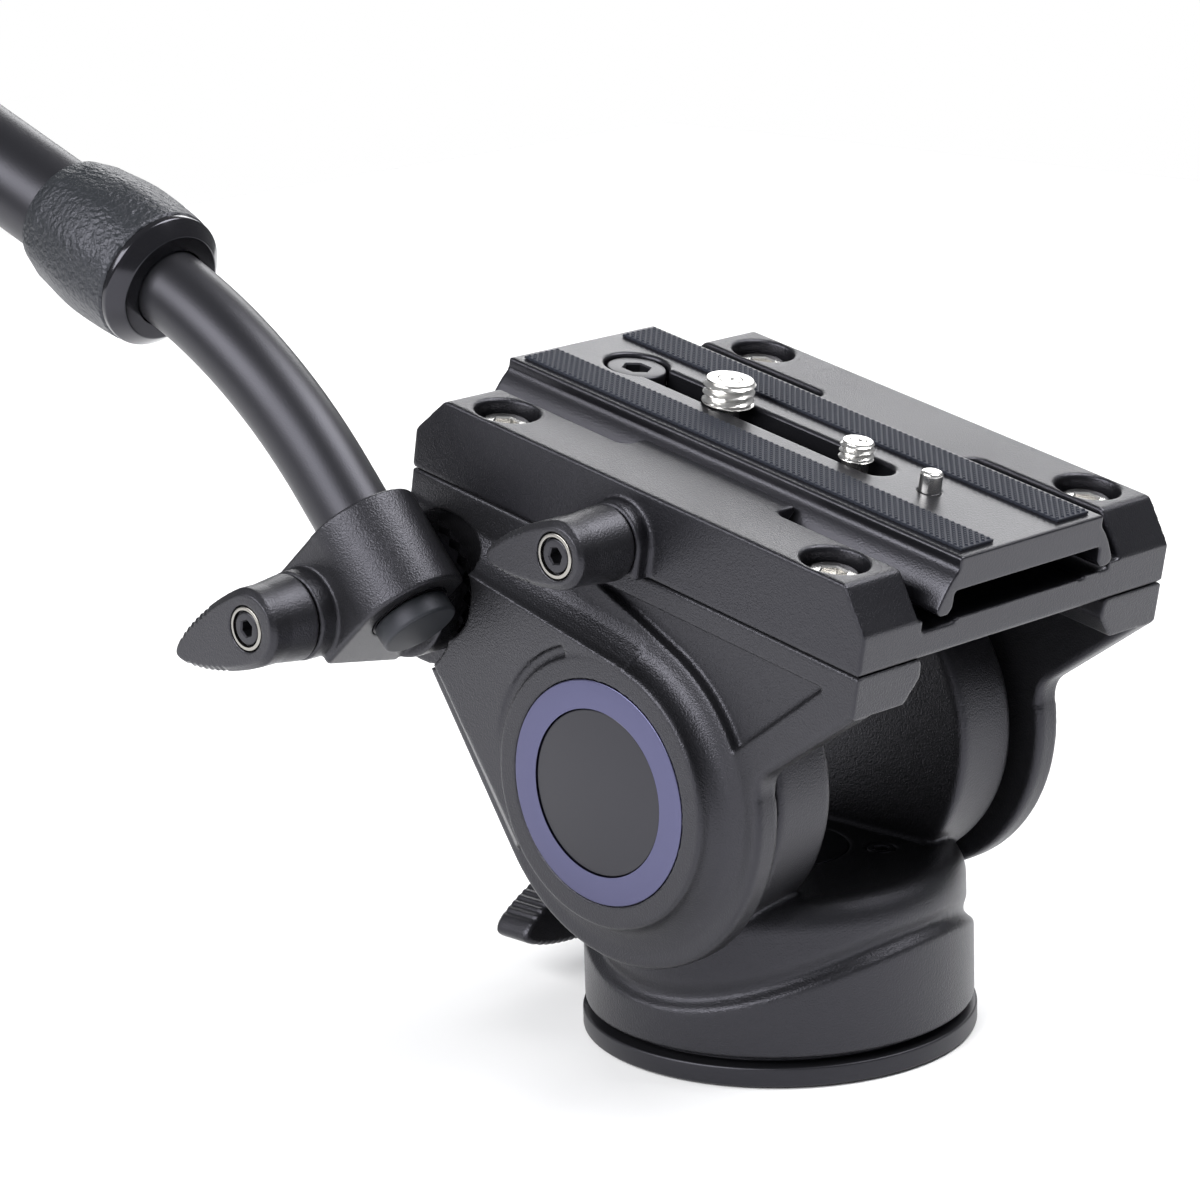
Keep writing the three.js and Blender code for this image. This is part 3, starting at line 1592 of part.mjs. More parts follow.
const pan = new THREE.Group();
const cartridge = dragCartridge();
pan.add(
  meshOf('pan_housing', panHousing(), castBlack()),
  meshOf('pan_cap', panCap(), satinBlack()),
  meshOf('pan_bearing', panBearing(), brass()),
  meshOf('pan_brake_shoe', brakeShoe(), brass()),
  meshOf('drag_cartridge_right', cartridge, nylon()),
  meshOf('drag_cartridge_left', mirroredBody(cartridge), nylon()),
);
floorScrewPlaces().forEach(([x, y], i) => {
  const screw = meshOf(`floor_screw_${i + 1}`, floorScrew(), blackSteel());
  screw.position.set(x, y, 0);
  pan.add(screw);
});
head.add(pan);

const panShank = panBossEnd - spindleRadius - shoeLength - 2 * runningGap;
const panLock = knobGroup('pan_lock', largeKnobRadius, largeKnobReach, panHubLength, panShank);
panLock.position.set(-panBossEnd - seatGap, 0, panKnobHeight);
panLock.rotation.set(0, -Math.PI / 2, 0);
panLock.rotateZ(radians(-90 - panKnobDrop));
pan.add(panLock);

const cage = new THREE.Group();
cage.position.set(0, 0, tiltAxisHeight);
cage.rotation.y = radians(tiltAtRest);
const rightArmBody = sideArm();
const ringBody = trimRing();
const capBody = centreCap();
const axleBody = tiltAxle();
const boltBody = axleBolt();
cage.add(
  meshOf('side_arm_right', rightArmBody, castBlack()),
  meshOf('side_arm_left', leftArm(rightArmBody), castBlack()),
  meshOf('trim_ring_right', ringBody, violetMetal()),
  meshOf('trim_ring_left', mirroredBody(ringBody), violetMetal()),
  meshOf('centre_cap_right', capBody, glossBlack()),
  meshOf('centre_cap_left', mirroredBody(capBody), glossBlack()),
  meshOf('tilt_axle_right', axleBody, steel()),
  meshOf('tilt_axle_left', mirroredBody(axleBody), steel()),
  meshOf('axle_bolt_right', boltBody, blackSteel()),
  meshOf('axle_bolt_left', mirroredBody(boltBody), blackSteel()),
  meshOf('top_block', topBlock(), blockBlack()),
  meshOf('lock_jaw', lockJaw(), brass()),
);
const screwPlaces = blockScrewXs().flatMap((x) => [[x, -blockScrewSide], [x, blockScrewSide]]);
screwPlaces.forEach(([x, y], i) => {
  const screw = meshOf(`block_screw_${i + 1}`, blockScrew(), steel());
  screw.position.set(x, y, 0);
  cage.add(screw);
});
head.add(cage);

const tiltShank = tiltBossEnd - earOuter - tiltBoltGap;
const tiltLock = knobGroup('tilt_lock', smallKnobRadius, smallKnobReach, tiltHubLength, tiltShank);
tiltLock.position.set(-tiltKnobBack, tiltBossEnd + seatGap, 0);
tiltLock.rotation.x = -Math.PI / 2;
tiltLock.rotateZ(radians(-tiltKnobTurn));
cage.add(tiltLock);

const plateShank = plateBossEnd - jawBack - seatGap;
const plateLock = knobGroup('plate_lock', smallKnobRadius, smallKnobReach, plateHubLength, plateShank);
plateLock.position.set(-plateKnobX, -plateBossEnd - seatGap, plateKnobUp);
plateLock.rotation.x = Math.PI / 2;
plateLock.rotateZ(radians(plateKnobTurn));
cage.add(plateLock);

const pin = meshOf('alignment_pin', alignmentPin(), steel());
pin.position.x = pinX;
const plate = new THREE.Group();
plate.add(
  meshOf('camera_plate', cameraPlate(), blockBlack()),
  meshOf('rubber_strip_right', rubberStrip(-1), rubberGrey()),
  meshOf('rubber_strip_left', rubberStrip(1), rubberGrey()),
  pin,
);
const stop = meshOf('stop_screw', stopScrew(), blackSteel());
stop.position.x = -counterborePlateX;
plate.add(stop);
[
  ['large', largeScrewX, largeThreadRadius, plateTop + largeScrewRise],
  ['small', smallScrewX, smallThreadRadius, plateTop + smallScrewRise],
].forEach(([label, x, threadRadius, top]) => {
  const screw = meshOf(`camera_screw_${label}`, cameraScrew(threadRadius, top), steel());
  const washer = meshOf(`captive_washer_${label}`, captiveWasher(), steel());
  screw.position.x = x;
  washer.position.x = x;
  plate.add(screw, washer);
});
cage.add(plate);

const handle = new THREE.Group();
handle.position.set(-rosetteBack, 0, rosetteUp);
handle.rotation.y = radians(handleAtRest);
handle.add(
  meshOf('handle_clamp', handleClamp(), castBlack()),
  meshOf('handle_tube', handleTube(), satinBlack()),
  meshOf('tube_plug', tubePlug(), rubberBlack()),
);
cage.add(handle);

const handleShank = clampBossEnd - clampBoltEnd;
const handleLock = knobGroup('handle_lock', largeKnobRadius, largeKnobReach, clampHubLength, handleShank);
handleLock.position.set(0, -clampBossEnd - seatGap, 0);
handleLock.rotation.x = Math.PI / 2;
handleLock.rotateZ(radians(clampKnobTurn));
handle.add(handleLock);

const extension = new THREE.Group();
extension.position.set(
  -bendCorner - collarReach * Math.cos(radians(bendAngle)),
  -clampTubeSide,
  clampTubeOffset - collarReach * Math.sin(radians(bendAngle)),
);
extension.rotation.y = radians(-bendAngle);
extension.add(
  meshOf('lock_collar', lockCollar(), glossBlack()),
  meshOf('lock_sleeve', lockSleeve(), rubberBlack()),
  meshOf('collet', collet(), nylon()),
  meshOf('outer_tube', outerTube(), satinBlack()),
  meshOf('hand_grip', handGrip(), rubberBlack()),
  meshOf('end_cap', endCap(), rubberBlack()),
);
handle.add(extension);

export default head;
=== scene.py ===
import json
import math

import bmesh
import bpy
from bpy.props import FloatProperty, FloatVectorProperty, IntProperty, PointerProperty
from mathutils import Matrix, Vector


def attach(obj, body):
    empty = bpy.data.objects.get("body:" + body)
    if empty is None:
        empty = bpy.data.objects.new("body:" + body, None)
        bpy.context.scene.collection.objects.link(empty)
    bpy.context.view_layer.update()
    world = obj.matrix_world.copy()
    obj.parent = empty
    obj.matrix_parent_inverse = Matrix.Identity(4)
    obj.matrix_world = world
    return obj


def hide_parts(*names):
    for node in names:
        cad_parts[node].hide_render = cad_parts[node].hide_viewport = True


bl_info = {
    "name": "Fluid Head Dressing",
    "version": (1, 0, 0),
    "blender": (4, 5, 0),
    "location": "3D View > Sidebar > Fluid Head",
    "description": "Builds the fine surfaces, finishes and studio of a video tripod's fluid head",
    "category": "Object",
}

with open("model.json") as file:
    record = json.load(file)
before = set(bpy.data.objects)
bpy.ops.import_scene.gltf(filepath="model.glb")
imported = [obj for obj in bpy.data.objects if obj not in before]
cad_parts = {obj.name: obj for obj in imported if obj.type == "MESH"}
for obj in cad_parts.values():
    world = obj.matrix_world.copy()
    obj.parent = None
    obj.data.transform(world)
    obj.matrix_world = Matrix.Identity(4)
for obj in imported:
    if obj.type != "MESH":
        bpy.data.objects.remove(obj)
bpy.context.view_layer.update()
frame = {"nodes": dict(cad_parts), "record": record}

# Shapes are made in millimetres and become metres when they are finished.
MM = 0.001
FULL = 2 * math.pi
QUARTER = math.pi / 2
OVERRUN = 1.0
LIP = 0.01
SEAT_GAP = 0.05
BOLT_HOLE = 3.3

# A corner's curve takes at most one part in so many of each side.
CLOSED_PARTS = 2.02
OPEN_PARTS = 2.1

# Places shared by the pieces, in millimetres and degrees
TILT_HEIGHT = 53.9
TILT_REST = 11.07
ROSETTE_PLACE = (-55.6, 0.0, 17.75)
HANDLE_REST = 37.06

TURN_RIGHT = Matrix.Rotation(QUARTER, 4, "X")
TURN_LEFT = Matrix.Rotation(-QUARTER, 4, "X")
TURN_BACK = Matrix.Rotation(-QUARTER, 4, "Y")
TURN_FRONT = Matrix.Rotation(QUARTER, 4, "Z") @ Matrix.Rotation(QUARTER, 4, "X")
MIRROR_SIDE = Matrix.Scale(-1, 4, (0, 1, 0))


def moved(x, y, z):
    return Matrix.Translation((x, y, z))


def turned_about(axis, degrees):
    return Matrix.Rotation(math.radians(degrees), 4, axis)


PAN = Matrix.Identity(4)
CAGE = moved(0, 0, TILT_HEIGHT) @ turned_about("Y", TILT_REST)
HANDLE = CAGE @ moved(*ROSETTE_PLACE) @ turned_about("Y", HANDLE_REST)


# Outlines and surfaces


def arc(centre, radius, start, end, steps):
    """Points on an arc between two angles in degrees, both ends included."""
    angles = [math.radians(start + (end - start) * i / steps) for i in range(steps + 1)]
    return [(centre[0] + radius * math.cos(a), centre[1] + radius * math.sin(a)) for a in angles]


def polar(radius, degrees):
    return (radius * math.cos(math.radians(degrees)), radius * math.sin(math.radians(degrees)))


def corner_curve(before, corner, after, radius, parts, steps):
    """The curve that stands for one corner, from one of its sides to the other."""
    here = Vector(corner)
    back = Vector(before) - here
    ahead = Vector(after) - here
    reach = min(radius, back.length / parts, ahead.length / parts)
    start = here + back.normalized() * reach
    end = here + ahead.normalized() * reach
    shares = [k / steps for k in range(steps + 1)]
    return [tuple((1 - t) ** 2 * start + 2 * t * (1 - t) * here + t * t * end) for t in shares]


def rounded(outline, radius, steps=6):
    """A closed outline with every corner eased by about that radius."""
    points = []
    for i, corner in enumerate(outline):
        after = outline[(i + 1) % len(outline)]
        points += corner_curve(outline[i - 1], corner, after, radius, CLOSED_PARTS, steps)
    return points


def broken(corners, edge, steps=3):
    """A profile with each corner but its ends eased by the edge radius."""
    points = [tuple(corners[0])]
    for before, here, after in zip(corners, corners[1:], corners[2:]):
        points += corner_curve(before, here, after, edge, OPEN_PARTS, steps)
    return [*points, tuple(corners[-1])]


def band(inner, outer, low, high):
    """The four corners of a plain ring's or a rod's profile."""
    return [(inner, low), (outer, low), (outer, high), (inner, high)]


def tube_profile(corners, edge, steps=3):
    """A closed profile whose corners are eased, all but the first."""
    first = corners[0]
    return broken([*corners, (first[0], first[1] + LIP)], edge, steps)[:-1]


def turned(profile, facets=144):
    """A closed skin: a profile of (radius, height) pairs turned about Z."""
    verts, faces, rings = [], [], []
    for radius, height in profile:
        if radius == 0:
            rings.append([len(verts)])
            verts.append((0, 0, height))
            continue
        rings.append(list(range(len(verts), len(verts) + facets)))
        for i in range(facets):
            angle = FULL * i / facets
            verts.append((radius * math.cos(angle), radius * math.sin(angle), height))
    open_ended = profile[0][0] > 0 and profile[-1][0] > 0
    above = rings[1:] + (rings[:1] if open_ended else [])
    for low, high in zip(rings, above):
        for i in range(facets):
            j = (i + 1) % facets
            corners = [low[i % len(low)], low[j % len(low)], high[j % len(high)], high[i % len(high)]]
            face = list(dict.fromkeys(corners))
            if len(face) > 2:
                faces.append(face)
    return verts, faces


def rod(radius, low, high, facets=96):
    return turned([(0, low), (radius, low), (radius, high), (0, high)], facets)


def raised(outline, low, high, top=None):
    """A closed slab between two levels; top is the outline at the high level if it differs."""
    count = len(outline)
    verts = [(x, y, low) for x, y in outline] + [(x, y, high) for x, y in (top or outline)]
    faces = [list(reversed(range(count))), list(range(count, 2 * count))]
    faces += [[i, (i + 1) % count, (i + 1) % count + count, i + count] for i in range(count)]
    return verts, faces


def inset(outline, depth):
    """The outline moved inwards by a depth, corner by corner."""
    count = len(outline)
    area = sum(outline[i - 1][0] * outline[i][1] - outline[i][0] * outline[i - 1][1] for i in range(count))
    away = depth if area > 0 else -depth
    points = []
    for i, corner in enumerate(outline):
        here = Vector(corner)
        ahead = (Vector(outline[(i + 1) % count]) - here).normalized()
        back = (here - Vector(outline[i - 1])).normalized()
        normal = Vector((-ahead.y - back.y, ahead.x + back.x))
        half = normal.length / 2
        points.append(tuple(here + normal.normalized() * away / max(half, 0.3)))
    return points


def loft(rings):
    """A closed body through rings of (x, y, z) points, from the lowest to the highest."""
    count = len(rings[0])
    verts = [point for ring in rings for point in ring]
    top = count * (len(rings) - 1)
    faces = [list(reversed(range(count))), list(range(top, top + count))]
    for low in range(0, top, count):
        for i in range(count):
            j = (i + 1) % count
            faces.append([low + i, low + j, low + count + j, low + count + i])
    return verts, faces


def waved(profile_at, columns, hollow=False):
    """A closed skin about Z whose profile of (radius, height) pairs changes with the angle."""
    verts, faces = [], []
    angles = [FULL * i / columns for i in range(columns)]
    profiles = [profile_at(angle) for angle in angles]
    rows = len(profiles[0])
    for angle, profile in zip(angles, profiles):
        verts += [(radius * math.cos(angle), radius * math.sin(angle), height) for radius, height in profile]
    low, high = len(verts), len(verts) + 1
    if not hollow:
        verts += [(0, 0, profiles[0][0][1]), (0, 0, profiles[0][-1][1])]
    for column in range(columns):
        here = column * rows
        after = (column + 1) % columns * rows
        faces += [
            [here + i, after + i, after + (i + 1) % rows, here + (i + 1) % rows]
            for i in range(rows if hollow else rows - 1)
        ]
        if not hollow:
            faces += [[low, after, here], [high, here + rows - 1, after + rows - 1]]
    return verts, faces


def block(low, high):
    outline = [(low[0], low[1]), (high[0], low[1]), (high[0], high[1]), (low[0], high[1])]
    return raised(outline, low[2], high[2])


# Solids and how they join and cut


def solid(name, shape, place=Matrix.Identity(4)):
    mesh = bpy.data.meshes.new(name)
    mesh.from_pydata(shape[0], [], shape[1])
    mesh.transform(place)
    skin = bmesh.new()
    skin.from_mesh(mesh)
    bmesh.ops.remove_doubles(skin, verts=skin.verts, dist=1e-5)
    bmesh.ops.recalc_face_normals(skin, faces=skin.faces)
    skin.to_mesh(mesh)
    skin.free()
    piece = bpy.data.objects.new(name, mesh)
    bpy.context.scene.collection.objects.link(piece)
    return piece


def applied(piece):
    """The piece with its modifiers turned into plain mesh."""
    graph = bpy.context.evaluated_depsgraph_get()
    mesh = bpy.data.meshes.new_from_object(piece.evaluated_get(graph))
    piece.modifiers.clear()
    piece.data = mesh
    return piece


def combined(piece, others, operation):
    for other in others:
        step = piece.modifiers.new("step", "BOOLEAN")
        step.object = other
        step.operation = operation
        step.solver = "MANIFOLD"
        other.hide_render = True
    bpy.context.view_layer.update()
    applied(piece)
    for other in others:
        bpy.data.objects.remove(other)
    return piece


def joined(piece, *others):
    return combined(piece, others, "UNION")


def cut(piece, *others):
    return combined(piece, others, "DIFFERENCE")


def softened(piece, voxel, passes, keep=0.4):
    """A cast skin over the piece: even small faces, then every edge eased a little."""
    skin = piece.modifiers.new("skin", "REMESH")
    skin.mode = "VOXEL"
    skin.voxel_size = voxel
    skin.use_smooth_shade = True
    ease = piece.modifiers.new("ease", "SMOOTH")
    ease.factor = 0.5
    ease.iterations = passes
    thin = piece.modifiers.new("thin", "DECIMATE")
    thin.ratio = keep
    return applied(piece)


def finished(piece, place, body, nodes, finish, smooth_angle=None):
    """Puts the piece in its place in metres, with its finish, and lets it stand for its CAD nodes."""
    piece.data.transform(Matrix.Scale(MM, 4) @ place)
    piece.data.materials.clear()
    piece.data.materials.append(FINISHES[finish])
    for face in piece.data.polygons:
        face.use_smooth = True
        face.material_index = 0
    if smooth_angle is not None:
        piece.data.set_sharp_from_angle(angle=math.radians(smooth_angle))
    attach(piece, body)
    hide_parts(*nodes)
    return piece


def mirrored(piece, name):
    """A copy on the other side, facing outwards."""
    twin = bpy.data.objects.new(name, piece.data.copy())
    bpy.context.scene.collection.objects.link(twin)
    twin.data.transform(MIRROR_SIDE)
    twin.data.flip_normals()
    return twin


# Shader helpers


def group_tree(name, inputs, outputs):
    """An empty shader group with float inputs (name, default) and outputs (name, socket type)."""
    tree = bpy.data.node_groups.new(name, "ShaderNodeTree")
    for label, default in inputs:
        socket = tree.interface.new_socket(name=label, in_out="INPUT", socket_type="NodeSocketFloat")
        socket.default_value = default
    for label, kind in outputs:
        tree.interface.new_socket(name=label, in_out="OUTPUT", socket_type=kind)
    source = tree.nodes.new("NodeGroupInput")
    sink = tree.nodes.new("NodeGroupOutput")
    return tree, source, sink


def math_node(tree, operation, first, second=None):
    node = tree.nodes.new("ShaderNodeMath")
    node.operation = operation
    for socket, value in zip(node.inputs, (first, second)):
        if isinstance(value, (int, float)):
            socket.default_value = value
        elif value is not None:
            tree.links.new(value, socket)
    return node.outputs[0]


def object_place(tree, scale):
    """Object coordinates in millimetres, times a scale."""
    place = tree.nodes.new("ShaderNodeTexCoord")
    stretch = tree.nodes.new("ShaderNodeVectorMath")
    stretch.operation = "SCALE"
    stretch.inputs["Scale"].default_value = scale / MM
    tree.links.new(place.outputs["Object"], stretch.inputs[0])
    return stretch.outputs[0]


def noise(tree, place, scale, detail=2.0):
    node = tree.nodes.new("ShaderNodeTexNoise")
    node.inputs["Detail"].default_value = detail
    tree.links.new(place, node.inputs["Vector"])
    if isinstance(scale, (int, float)):
        node.inputs["Scale"].default_value = scale
    else:
        tree.links.new(scale, node.inputs["Scale"])
    return node.outputs["Fac"]


def grain_group():
    """Powder-coat grain: fine pebbles, with a slow drift of gloss."""
    tree, source, sink = group_tree(
        "Powder Grain",
        [("Pebbles per mm", 2.2), ("Drift per mm", 0.03)],
        [("Height", "NodeSocketFloat"), ("Drift", "NodeSocketFloat")],
    )
    place = object_place(tree, 1.0)
    fine = noise(tree, place, source.outputs["Pebbles per mm"], 3.0)
    slow = noise(tree, place, source.outputs["Drift per mm"], 2.0)
    tree.links.new(fine, sink.inputs["Height"])
    tree.links.new(slow, sink.inputs["Drift"])
    return tree


def edge_highlight_group():
    """A mask of the outer edges, broken up by noise, where the colour is lightened as a painted highlight.
    """
    tree, source, sink = group_tree(
        "Edge Rub",
        [("Low", 0.52), ("High", 0.62)],
        [("Mask", "NodeSocketFloat")],
    )
    shape = tree.nodes.new("ShaderNodeNewGeometry")
    span = tree.nodes.new("ShaderNodeMapRange")
    tree.links.new(shape.outputs["Pointiness"], span.inputs["Value"])
    tree.links.new(source.outputs["Low"], span.inputs["From Min"])
    tree.links.new(source.outputs["High"], span.inputs["From Max"])
    patches = noise(tree, object_place(tree, 1.0), 0.35, 4.0)
    mask = math_node(tree, "MULTIPLY", span.outputs["Result"], patches)
    tree.links.new(mask, sink.inputs["Mask"])
    return tree


def turned_group():
    """Fine rings about a turned piece's own axis: the axis runs through a point along local Y."""
    tree, source, sink = group_tree(
        "Turned Rings",
        [("Centre X mm", 0.0), ("Centre Z mm", 0.0), ("Rings per mm", 6.0)],
        [("Height", "NodeSocketFloat")],
    )
    place = object_place(tree, 1.0)
    split = tree.nodes.new("ShaderNodeSeparateXYZ")
    tree.links.new(place, split.inputs[0])
    across = math_node(tree, "SUBTRACT", split.outputs["X"], source.outputs["Centre X mm"])
    up = math_node(tree, "SUBTRACT", split.outputs["Z"], source.outputs["Centre Z mm"])
    square = math_node(tree, "ADD", math_node(tree, "POWER", across, 2.0), math_node(tree, "POWER", up, 2.0))
    radius = math_node(tree, "SQRT", square)
    line = tree.nodes.new("ShaderNodeCombineXYZ")
    tree.links.new(math_node(tree, "MULTIPLY", radius, source.outputs["Rings per mm"]), line.inputs["X"])
    tree.links.new(noise(tree, line.outputs[0], 1.0, 3.0), sink.inputs["Height"])
    return tree


SPECULAR_TINT = (0.88, 0.87, 1.0)
# The painted edge highlight: the gain and lift that lighten the colour at outer edges.
EDGE_HIGHLIGHT_GAIN = 3
EDGE_HIGHLIGHT_LIFT = 0.02
RING_DEPTH = 0.05
RING_SWING = 0.25


def coated(
    name, groups, colour, roughness, pebbles, bump, edge=0.0, metallic=0.0, drift=0.12, depth=0.12
):
    """A finish with grain in its normal, a drifting gloss and edges lightened in colour as a painted
    highlight.
    """
    finish = bpy.data.materials.new(name)
    finish.use_nodes = True
    tree = finish.node_tree
    shader = tree.nodes["Principled BSDF"]
    shader.inputs["Metallic"].default_value = metallic
    grain = tree.nodes.new("ShaderNodeGroup")
    grain.node_tree = groups["grain"]
    grain.inputs["Pebbles per mm"].default_value = pebbles
    relief = tree.nodes.new("ShaderNodeBump")
    relief.inputs["Strength"].default_value = bump
    relief.inputs["Distance"].default_value = depth * MM
    if not metallic:
        shader.inputs["Specular Tint"].default_value = (*SPECULAR_TINT, 1)
    tree.links.new(grain.outputs["Height"], relief.inputs["Height"])
    tree.links.new(relief.outputs["Normal"], shader.inputs["Normal"])
    swing = math_node(tree, "MULTIPLY", math_node(tree, "SUBTRACT", grain.outputs["Drift"], 0.5), drift)
    tree.links.new(math_node(tree, "ADD", swing, roughness), shader.inputs["Roughness"])
    # Painted highlight: along outer edges the base colour is mixed towards a lighter tone, by the edge
    # value.
    edge_highlight_node = tree.nodes.new("ShaderNodeGroup")
    edge_highlight_node.node_tree = groups["edge"]
    blend = tree.nodes.new("ShaderNodeMix")
    blend.data_type = "RGBA"
    blend.inputs["A"].default_value = (*colour, 1)
    blend.inputs["B"].default_value = (*[min(1.0, c * EDGE_HIGHLIGHT_GAIN + EDGE_HIGHLIGHT_LIFT) for c in colour], 1)
    tree.links.new(math_node(tree, "MULTIPLY", edge_highlight_node.outputs["Mask"], edge), blend.inputs["Factor"])
    tree.links.new(blend.outputs["Result"], shader.inputs["Base Color"])
    return finish


def turned_metal(name, groups, colour, roughness, centre, rings, bump, metallic=1.0):
    """Metal faced on a lathe, with rings about its own axis."""
    finish = bpy.data.materials.new(name)
    finish.use_nodes = True
    tree = finish.node_tree
    shader = tree.nodes["Principled BSDF"]
    shader.inputs["Metallic"].default_value = metallic
    shader.inputs["Base Color"].default_value = (*colour, 1)
    lathe = tree.nodes.new("ShaderNodeGroup")
    lathe.node_tree = groups["turned"]
    lathe.inputs["Centre X mm"].default_value = centre[0]
    lathe.inputs["Centre Z mm"].default_value = centre[1]
    lathe.inputs["Rings per mm"].default_value = rings
    relief = tree.nodes.new("ShaderNodeBump")
    relief.inputs["Strength"].default_value = bump
    relief.inputs["Distance"].default_value = RING_DEPTH * MM
    tree.links.new(lathe.outputs["Height"], relief.inputs["Height"])
    tree.links.new(relief.outputs["Normal"], shader.inputs["Normal"])
    middle = math_node(tree, "SUBTRACT", lathe.outputs["Height"], 0.5)
    swing = math_node(tree, "MULTIPLY", middle, RING_SWING)
    tree.links.new(math_node(tree, "ADD", swing, roughness), shader.inputs["Roughness"])
    return finish


BRASS = (0.45, 0.28, 0.08)
NYLON = (0.68, 0.66, 0.6)
DULL_STEEL = (0.3, 0.29, 0.27)
METAL = {"metallic": 1.0}
# An edge value sets how strongly outer edges are lightened as a painted highlight.
EDGE_HIGHLIGHTED = {"edge": 0.25}
EVEN = {"drift": 0.05}

# Finish, material, colour (a setting's name or its value), roughness, pebbles per mm, bump, further values
COATINGS = (
    ("cast", "powder_coat", "casting", 0.33, 3.1, 1.0, EDGE_HIGHLIGHTED),
    ("machined", "blasted_anodising", "block", 0.33, 3.4, 0.8, EDGE_HIGHLIGHTED),
    ("tube", "satin_tube", "tube", 0.4, 3.4, 0.2, {}),
    ("gloss", "gloss_black", "tube", 0.16, 1.0, 0.01, EVEN),
    ("rubber", "strip_rubber", "strips", 0.6, 3.0, 0.4, {}),
    ("grip", "grip_rubber", "grip", 0.6, 1.1, 0.6, {}),
    ("steel", "bright_steel", "steel", 0.22, 3.0, 0.04, METAL),
    ("black_steel", "black_oxide", "tube", 0.35, 3.0, 0.15, {}),
    ("brass", "plain_brass", BRASS, 0.35, 3.0, 0.05, METAL),
    ("nylon", "nylon", NYLON, 0.5, 3.0, 0.05, {}),
    ("knob", "knob_black", "casting", 0.36, 3.1, 0.7, EDGE_HIGHLIGHTED),
    # The plate's outer edges are lightened too, as a painted highlight.
    ("plate", "plate_anodising", "block", 0.32, 3.0, 0.4, {"edge": 0.3}),
    ("cap", "cap_black", "tube", 0.3, 1.0, 0.05, EVEN),
    ("plug", "plug_rubber", "grip", 0.5, 2.0, 0.1, {}),
    ("sleeve", "sleeve_rubber", "grip", 0.42, 0.95, 1.0, {"depth": 0.5}),
    ("screw", "screw_steel", "steel", 0.28, 3.0, 0.06, METAL),
    ("knob_ring", "knob_ring_steel", DULL_STEEL, 0.3, 3.0, 0.1, METAL),
)
FINISHES = {}


def make_finishes():
    colours = bpy.context.scene.head_finish
    groups = {"grain": grain_group(), "edge": edge_highlight_group(), "turned": turned_group()}
    for finish, name, colour, roughness, pebbles, bump, more in COATINGS:
        tone = getattr(colours, colour) if isinstance(colour, str) else colour
        FINISHES[finish] = coated(name, groups, tone, roughness, pebbles, bump, **more)
    FINISHES["ring"] = turned_metal(
        "violet_ring", groups, colours.ring, roughness=0.34, centre=(0, TILT_HEIGHT), rings=5.0, bump=0.25
    )


SLOT_FINISH = {
    "cast_black": "cast",
    "block_black": "machined",
    "satin_black": "tube",
    "gloss_black": "gloss",
    "rubber_grey": "rubber",
    "rubber_black": "grip",
    "violet_metal": "ring",
    "steel": "steel",
    "black_steel": "black_steel",
    "brass": "brass",
    "nylon": "nylon",
}


def dress_nodes():
    """Every CAD node that stays in view gets the finish of its material slot."""
    for entry in frame["record"]["subparts"]:
        node = frame["nodes"][entry["node"]]
        node.data.materials.clear()
        node.data.materials.append(FINISHES[SLOT_FINISH[entry["material_slot"]]])


# Geometry Nodes trees


def geometry_tree(name, inputs):
    """A node tree with a geometry input and output, and named inputs (name, socket type, default)."""
    tree = bpy.data.node_groups.new(name, "GeometryNodeTree")
    tree.interface.new_socket(name="Geometry", in_out="INPUT", socket_type="NodeSocketGeometry")
    for label, kind, default in inputs:
        socket = tree.interface.new_socket(name=label, in_out="INPUT", socket_type=kind)
        if default is not None:
            socket.default_value = default
    tree.interface.new_socket(name="Geometry", in_out="OUTPUT", socket_type="NodeSocketGeometry")
    return tree, tree.nodes.new("NodeGroupInput"), tree.nodes.new("NodeGroupOutput")


def form_of(tree, source):
    form = tree.nodes.new("GeometryNodeObjectInfo")
    tree.links.new(source.outputs["Form"], form.inputs["Object"])
    return form.outputs["Geometry"]


def closing(tree, source, sink, instances):
    """Every tree ends with real faces that carry their finish."""
    real = tree.nodes.new("GeometryNodeRealizeInstances")
    dress = tree.nodes.new("GeometryNodeSetMaterial")
    tree.links.new(instances, real.inputs["Geometry"])
    tree.links.new(real.outputs["Geometry"], dress.inputs["Geometry"])
    tree.links.new(source.outputs["Finish"], dress.inputs["Material"])
    tree.links.new(dress.outputs["Geometry"], sink.inputs["Geometry"])


def copies_tree():
    """A form copied to each point of the piece's own mesh."""
    tree, source, sink = geometry_tree(
        "Copies at Places",
        [("Form", "NodeSocketObject", None), ("Finish", "NodeSocketMaterial", None)],
    )
    lay = tree.nodes.new("GeometryNodeInstanceOnPoints")
    tree.links.new(source.outputs["Geometry"], lay.inputs["Points"])
    tree.links.new(form_of(tree, source), lay.inputs["Instance"])
    closing(tree, source, sink, lay.outputs["Instances"])
    return tree


def ring_tree():
    """A form copied about the Z axis, evenly round the full circle."""
    tree, source, sink = geometry_tree(
        "Copies Round an Axis",
        [
            ("Form", "NodeSocketObject", None),
            ("Count", "NodeSocketInt", 24),
            ("Finish", "NodeSocketMaterial", None),
        ],
    )
    line = tree.nodes.new("GeometryNodeMeshLine")
    line.inputs["Offset"].default_value = (0, 0, 0)
    tree.links.new(source.outputs["Count"], line.inputs["Count"])
    turn = math_node(tree, "MULTIPLY", tree.nodes.new("GeometryNodeInputIndex").outputs[0], FULL)
    turn = math_node(tree, "DIVIDE", turn, source.outputs["Count"])
    about = tree.nodes.new("ShaderNodeCombineXYZ")
    tree.links.new(turn, about.inputs["Z"])
    lay = tree.nodes.new("GeometryNodeInstanceOnPoints")
    tree.links.new(line.outputs["Mesh"], lay.inputs["Points"])
    tree.links.new(form_of(tree, source), lay.inputs["Instance"])
    tree.links.new(about.outputs[0], lay.inputs["Rotation"])
    closing(tree, source, sink, lay.outputs["Instances"])
    return tree


